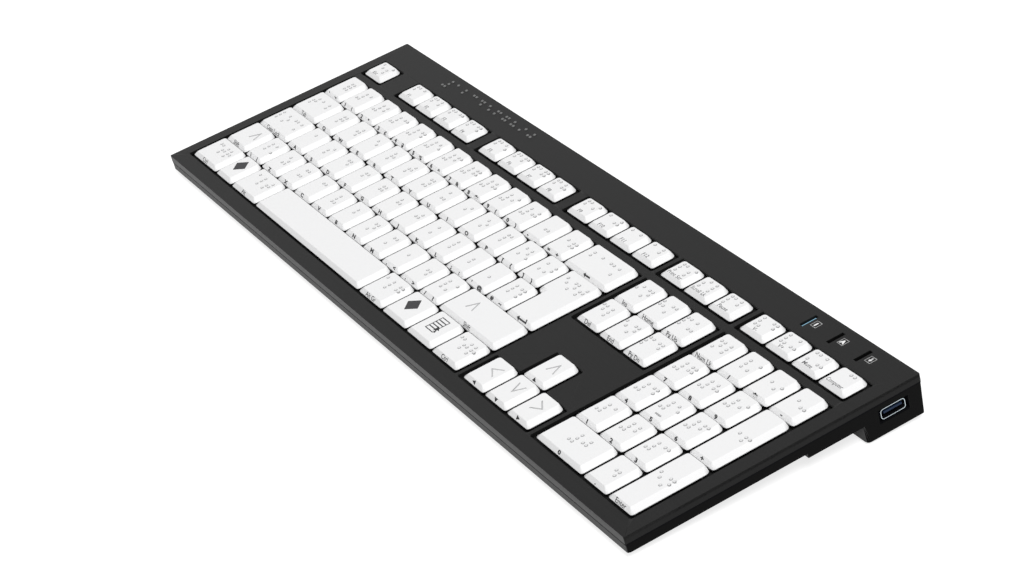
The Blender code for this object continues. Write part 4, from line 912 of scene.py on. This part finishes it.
def build_lamp_signs(frame_ink, sign_ink):
    """Boxed signs beside the slots, their outlines in millimetres."""
    box = [rectangle(-1.9, -2.0, -1.6, 2.0), rectangle(1.6, -2.0, 1.9, 2.0),
           rectangle(-1.6, 1.7, 1.6, 2.0), rectangle(-1.6, -2.0, 1.6, -1.7)]
    arrow = [[(0, -1.3), (1.1, 0), (0.4, 0), (0.4, 1.3), (-0.4, 1.3), (-0.4, 0), (-1.1, 0)]]
    bm = bmesh.new()
    for x, text in zip(lamp_centres(), ("1", "A", "↓")):
        place = Matrix.Translation((x + LAMP_SIGN_SHIFT_X, LAMP_SIGN_Y, BEZEL_TOP))
        print_outlines(bm, box, place, 0)
        if text == "↓":
            print_outlines(bm, arrow, place, 1)
        else:
            letter = letters(text, LAMP_LETTER_SIZE, LAMP_LETTER_SPREAD, LAMP_LETTER_WEIGHT)
            print_mesh(bm, letter, place @ Matrix.Translation((0, -LAMP_LETTER_DROP, 0)), 1)
    make_piece(bm, "lamp_signs", "case", [frame_ink, sign_ink])


def build_bezel_braille(plastic):
    """A line of braille digits on the rear bezel."""
    bm = bmesh.new()
    cells = [NUMBER_SIGN] + [LETTER_DOTS[letter] for letter in "abcdefghij"]
    for x, y in cell_dots(cells, BEZEL_TEXT_X, BEZEL_TEXT_Y, BEZEL_CELL_PITCH):
        add_dot(bm, x, y, BEZEL_TOP, 0, 0)
    make_piece(bm, "bezel_braille", "case", [plastic])


def socket_place():
    """The middle of the socket's mouth, with z out to the right and y to the rear."""
    turn = Matrix(((0, 0, 1), (0, 1, 0), (-1, 0, 0))).to_4x4()
    return Matrix.Translation((USB_RIGHT, USB_MIDDLE_Y, USB_MIDDLE_Z)) @ turn


def mouth_outline(height, width, corner):
    """A rounded rectangle about the middle of the socket's mouth."""
    box = rectangle(-height / 2, -width / 2, height / 2, width / 2)
    return rounded_outline(box, corner, USB_CORNER_STEPS)


def build_socket_shell(steel, dark):
    """The thin steel shell of the socket, bright at its mouth, with painted shade on its inner faces."""
    outer = mouth_outline(USB_HEIGHT, USB_WIDTH, USB_CORNER)
    bore_height, bore_width = USB_HEIGHT - 2 * USB_SHEET, USB_WIDTH - 2 * USB_SHEET
    bore = mouth_outline(bore_height, bore_width, USB_CORNER - USB_SHEET)
    bm = plate_with_holes(outer, [bore], -USB_LENGTH, 0, USB_SHEET / 5)
    # Painted shade: faces inside the bore, away from both ends, take the dark slot
    for face in bm.faces:
        x, y, z = face.calc_center_median()
        inside = abs(x) < bore_height / 2 + USB_SHEET / 4 and abs(y) < bore_width / 2 + USB_SHEET / 4
        if inside and abs(z + USB_LENGTH / 2) < USB_LENGTH * 0.45:
            face.material_index = 1
    bmesh.ops.transform(bm, matrix=socket_place(), verts=bm.verts)
    make_piece(bm, "socket_shell", "case", [steel, dark], ["usb_shell"])


def build_socket_blade(navy):
    """The thin plastic blade in the mouth, on the block that fills the shell's rear end."""
    bm = bmesh.new()
    low, high = -BLADE_RISE - BLADE_SHEET / 2, -BLADE_RISE + BLADE_SHEET / 2
    blade = add_box(bm, (low, -BLADE_WIDTH / 2, -USB_LENGTH + BLADE_ROOT / 2),
                    (high, BLADE_WIDTH / 2, -BLADE_SETBACK))
    bevel_block(bm, blade, BLADE_SHEET / 8, 2)
    reach_x, reach_y = USB_HEIGHT / 2 - 2 * USB_SHEET, USB_WIDTH / 2 - 2 * USB_SHEET
    root = add_box(bm, (-reach_x, -reach_y, -USB_LENGTH), (reach_x, reach_y, -USB_LENGTH + BLADE_ROOT))
    bevel_block(bm, root, USB_SHEET, 2)
    bmesh.ops.transform(bm, matrix=socket_place(), verts=bm.verts)
    make_piece(bm, "socket_blade", "case", [navy], ["usb_tongue"])


def build_socket_liner(dark):
    """Sleeve and floor of the recess round the socket, dark with painted shade."""
    outer = mouth_outline(LINER_HEIGHT, LINER_WIDTH, LINER_SHEET)
    inner = mouth_outline(LINER_HEIGHT - 2 * LINER_SHEET, LINER_WIDTH - 2 * LINER_SHEET, LINER_SHEET)
    bm = plate_with_holes(outer, [inner], LINER_BACK, LINER_FRONT, LINER_SHEET / 5)
    around = mouth_outline(USB_HEIGHT, USB_WIDTH, USB_CORNER)
    join_mesh(bm, plate_with_holes(inner, [around], LINER_BACK, LINER_FLOOR, LINER_SHEET / 5))
    bmesh.ops.transform(bm, matrix=socket_place(), verts=bm.verts)
    make_piece(bm, "socket_liner", "case", [dark])


def dress_nodes(looks):
    """Gives each CAD node that no new piece replaces its finish."""
    for node, look in looks.items():
        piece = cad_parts[node]
        piece.data.materials.clear()
        piece.data.materials.append(look)


# Setting

def build_floor():
    material = bpy.data.materials.new("white_floor")
    material.use_nodes = True
    tree = material.node_tree
    tree.nodes.clear()
    output = tree.nodes.new("ShaderNodeOutputMaterial")
    diffuse = tree.nodes.new("ShaderNodeBsdfDiffuse")
    diffuse.inputs["Color"].default_value = (FLOOR_GREY, FLOOR_GREY, FLOOR_GREY, 1)
    glow = tree.nodes.new("ShaderNodeEmission")
    seen = seen_rays(tree)
    scale = tree.nodes.new("ShaderNodeMath")
    scale.operation = "MULTIPLY"
    scale.inputs[1].default_value = FLOOR_GLOW
    both = tree.nodes.new("ShaderNodeAddShader")
    tree.links.new(seen, scale.inputs[0])
    tree.links.new(scale.outputs[0], glow.inputs["Strength"])
    tree.links.new(diffuse.outputs[0], both.inputs[0])
    tree.links.new(glow.outputs[0], both.inputs[1])
    tree.links.new(both.outputs[0], output.inputs["Surface"])
    bm = bmesh.new()
    bmesh.ops.create_grid(bm, x_segments=1, y_segments=1, size=FLOOR_SIZE)
    mesh = bpy.data.meshes.new("floor")
    bm.to_mesh(mesh)
    bm.free()
    mesh.materials.append(material)
    floor = bpy.data.objects.new("floor", mesh)
    bpy.context.scene.collection.objects.link(floor)


def seen_rays(tree):
    """One for camera, glossy and transmission rays, zero for the rest."""
    path = tree.nodes.new("ShaderNodeLightPath")
    total = path.outputs["Is Camera Ray"]
    for kind in ("Is Glossy Ray", "Is Transmission Ray"):
        larger = tree.nodes.new("ShaderNodeMath")
        larger.operation = "MAXIMUM"
        tree.links.new(total, larger.inputs[0])
        tree.links.new(path.outputs[kind], larger.inputs[1])
        total = larger.outputs[0]
    return total


def build_world():
    world = bpy.data.worlds.new("studio")
    world.use_nodes = True
    bpy.context.scene.world = world
    tree = world.node_tree
    background = tree.nodes["Background"]
    background.inputs["Color"].default_value = (1, 1, 1, 1)
    level = tree.nodes.new("ShaderNodeMapRange")
    level.inputs["To Min"].default_value = WORLD_LEVEL
    level.inputs["To Max"].default_value = 1.0
    tree.links.new(seen_rays(tree), level.inputs["Value"])
    tree.links.new(level.outputs["Result"], background.inputs["Strength"])


def add_lamp(name, place, target, size, power):
    light = bpy.data.lights.new(name, "AREA")
    light.shape = "SQUARE"
    light.size = size
    light.energy = power
    lamp = bpy.data.objects.new(name, light)
    lamp.location = place
    lamp.rotation_euler = (Vector(target) - Vector(place)).to_track_quat("-Z", "Y").to_euler()
    bpy.context.scene.collection.objects.link(lamp)


def build_camera():
    """The photograph's viewpoint, worked out in the keyboard's plane."""
    turn = Matrix((CAMERA_RIGHT, -CAMERA_DOWN, -CAMERA_FORWARD)).transposed().to_4x4()
    data = bpy.data.cameras.new("camera")
    data.sensor_width = CAMERA_SENSOR
    data.lens = CAMERA_LENS
    data.clip_start = CAMERA_CLIP
    camera = bpy.data.objects.new("camera", data)
    camera.matrix_world = KEYBOARD @ Matrix.Translation(CAMERA_PLACE) @ turn
    bpy.context.scene.collection.objects.link(camera)
    bpy.context.scene.camera = camera


def main():
    caps = cap_plastic()
    # Both covers take painted light on faces turned to the front; the lower cover is also darker overall.
    charcoal = case_plastic("charcoal_plastic_painted_front_light", 0.010, 0.075, 0.12)
    dark_charcoal = case_plastic("lower_charcoal_painted_front_light", 0.002, 0.10, 0.05)
    ink = grained("legend_ink", (0.02, 0.02, 0.022), 0.6)
    soft_ink = grained("soft_legend_ink", (0.13, 0.13, 0.135), 0.6)
    pale_ink = grained("pale_ink", (0.4, 0.4, 0.4), 0.6)
    white_ink = grained("white_ink", (0.9, 0.9, 0.9), 0.6)
    build_camera()
    # Painted shade on raised dots: dark grey feet, lighter grey crowns
    dots = grained("raised_dot_painted_shade", (0.38, 0.38, 0.385), 0.4, specular=0.3)
    dot_lit_crowns = grained("raised_dot_crown_painted_light", (0.75, 0.75, 0.755), 0.5, specular=0.3)
    # Painted shade: raised chevrons in grey
    chevron_shade = grained("raised_chevron_painted_shade", (0.47, 0.47, 0.475), 0.4, specular=0.3)
    build_keys([caps, ink, dots, chevron_shade, dot_lit_crowns, soft_ink])
    build_top_cover(charcoal)
    build_lamps(lit_window(), grained("dark_window_and_slot_shade", (0.003, 0.003, 0.003), 0.6, specular=0.1))
    build_lamp_signs(pale_ink, white_ink)
    build_bezel_braille(grained("bezel_dot_plastic", (0.12, 0.12, 0.12), 0.35))
    rubber = grained("black_rubber_look", (0.02, 0.02, 0.02), 0.8, specular=0.3)
    steel = grained("bright_steel_look", (0.66, 0.75, 0.79), 0.3, metallic=1.0)
    # Painted shade for the socket's inside, its recess and the groove between the covers
    shade = grained("socket_shade", (0.003, 0.003, 0.004), 0.8, specular=0.05)
    build_socket_shell(steel, shade)
    build_socket_liner(shade)
    build_socket_blade(grained("socket_plastic_look", (0.012, 0.026, 0.06), 0.5, specular=0.2))
    build_seam(shade)
    dress_nodes({
        "bottom_cover": dark_charcoal,
        "key_frame": grained("black_frame_look", (0.01, 0.01, 0.01), 0.7, specular=0.2),
        "dome_sheet": grained("silicone_look", (0.5, 0.52, 0.54), 0.5),
        "membrane_circuit": grained("circuit_film_look", (0.5, 0.6, 0.55), 0.35),
        "backing_plate": steel,
        "controller_board": grained("green_board_look", (0.02, 0.14, 0.06), 0.45),
        "cord_gland": rubber,
        "front_rubber_strip": rubber,
        "rear_rubber_strip": rubber})
    build_floor()
    build_world()
    add_lamp("key_light", KEY_LIGHT_PLACE, (0, 0, 0), KEY_LIGHT_SIZE, KEY_LIGHT_POWER)
    add_lamp("front_fill", FILL_PLACE, (0, 0, 0), FILL_SIZE, FILL_POWER)
    bpy.context.scene.view_settings.view_transform = "Standard"


main()
bpy.context.view_layer.update()
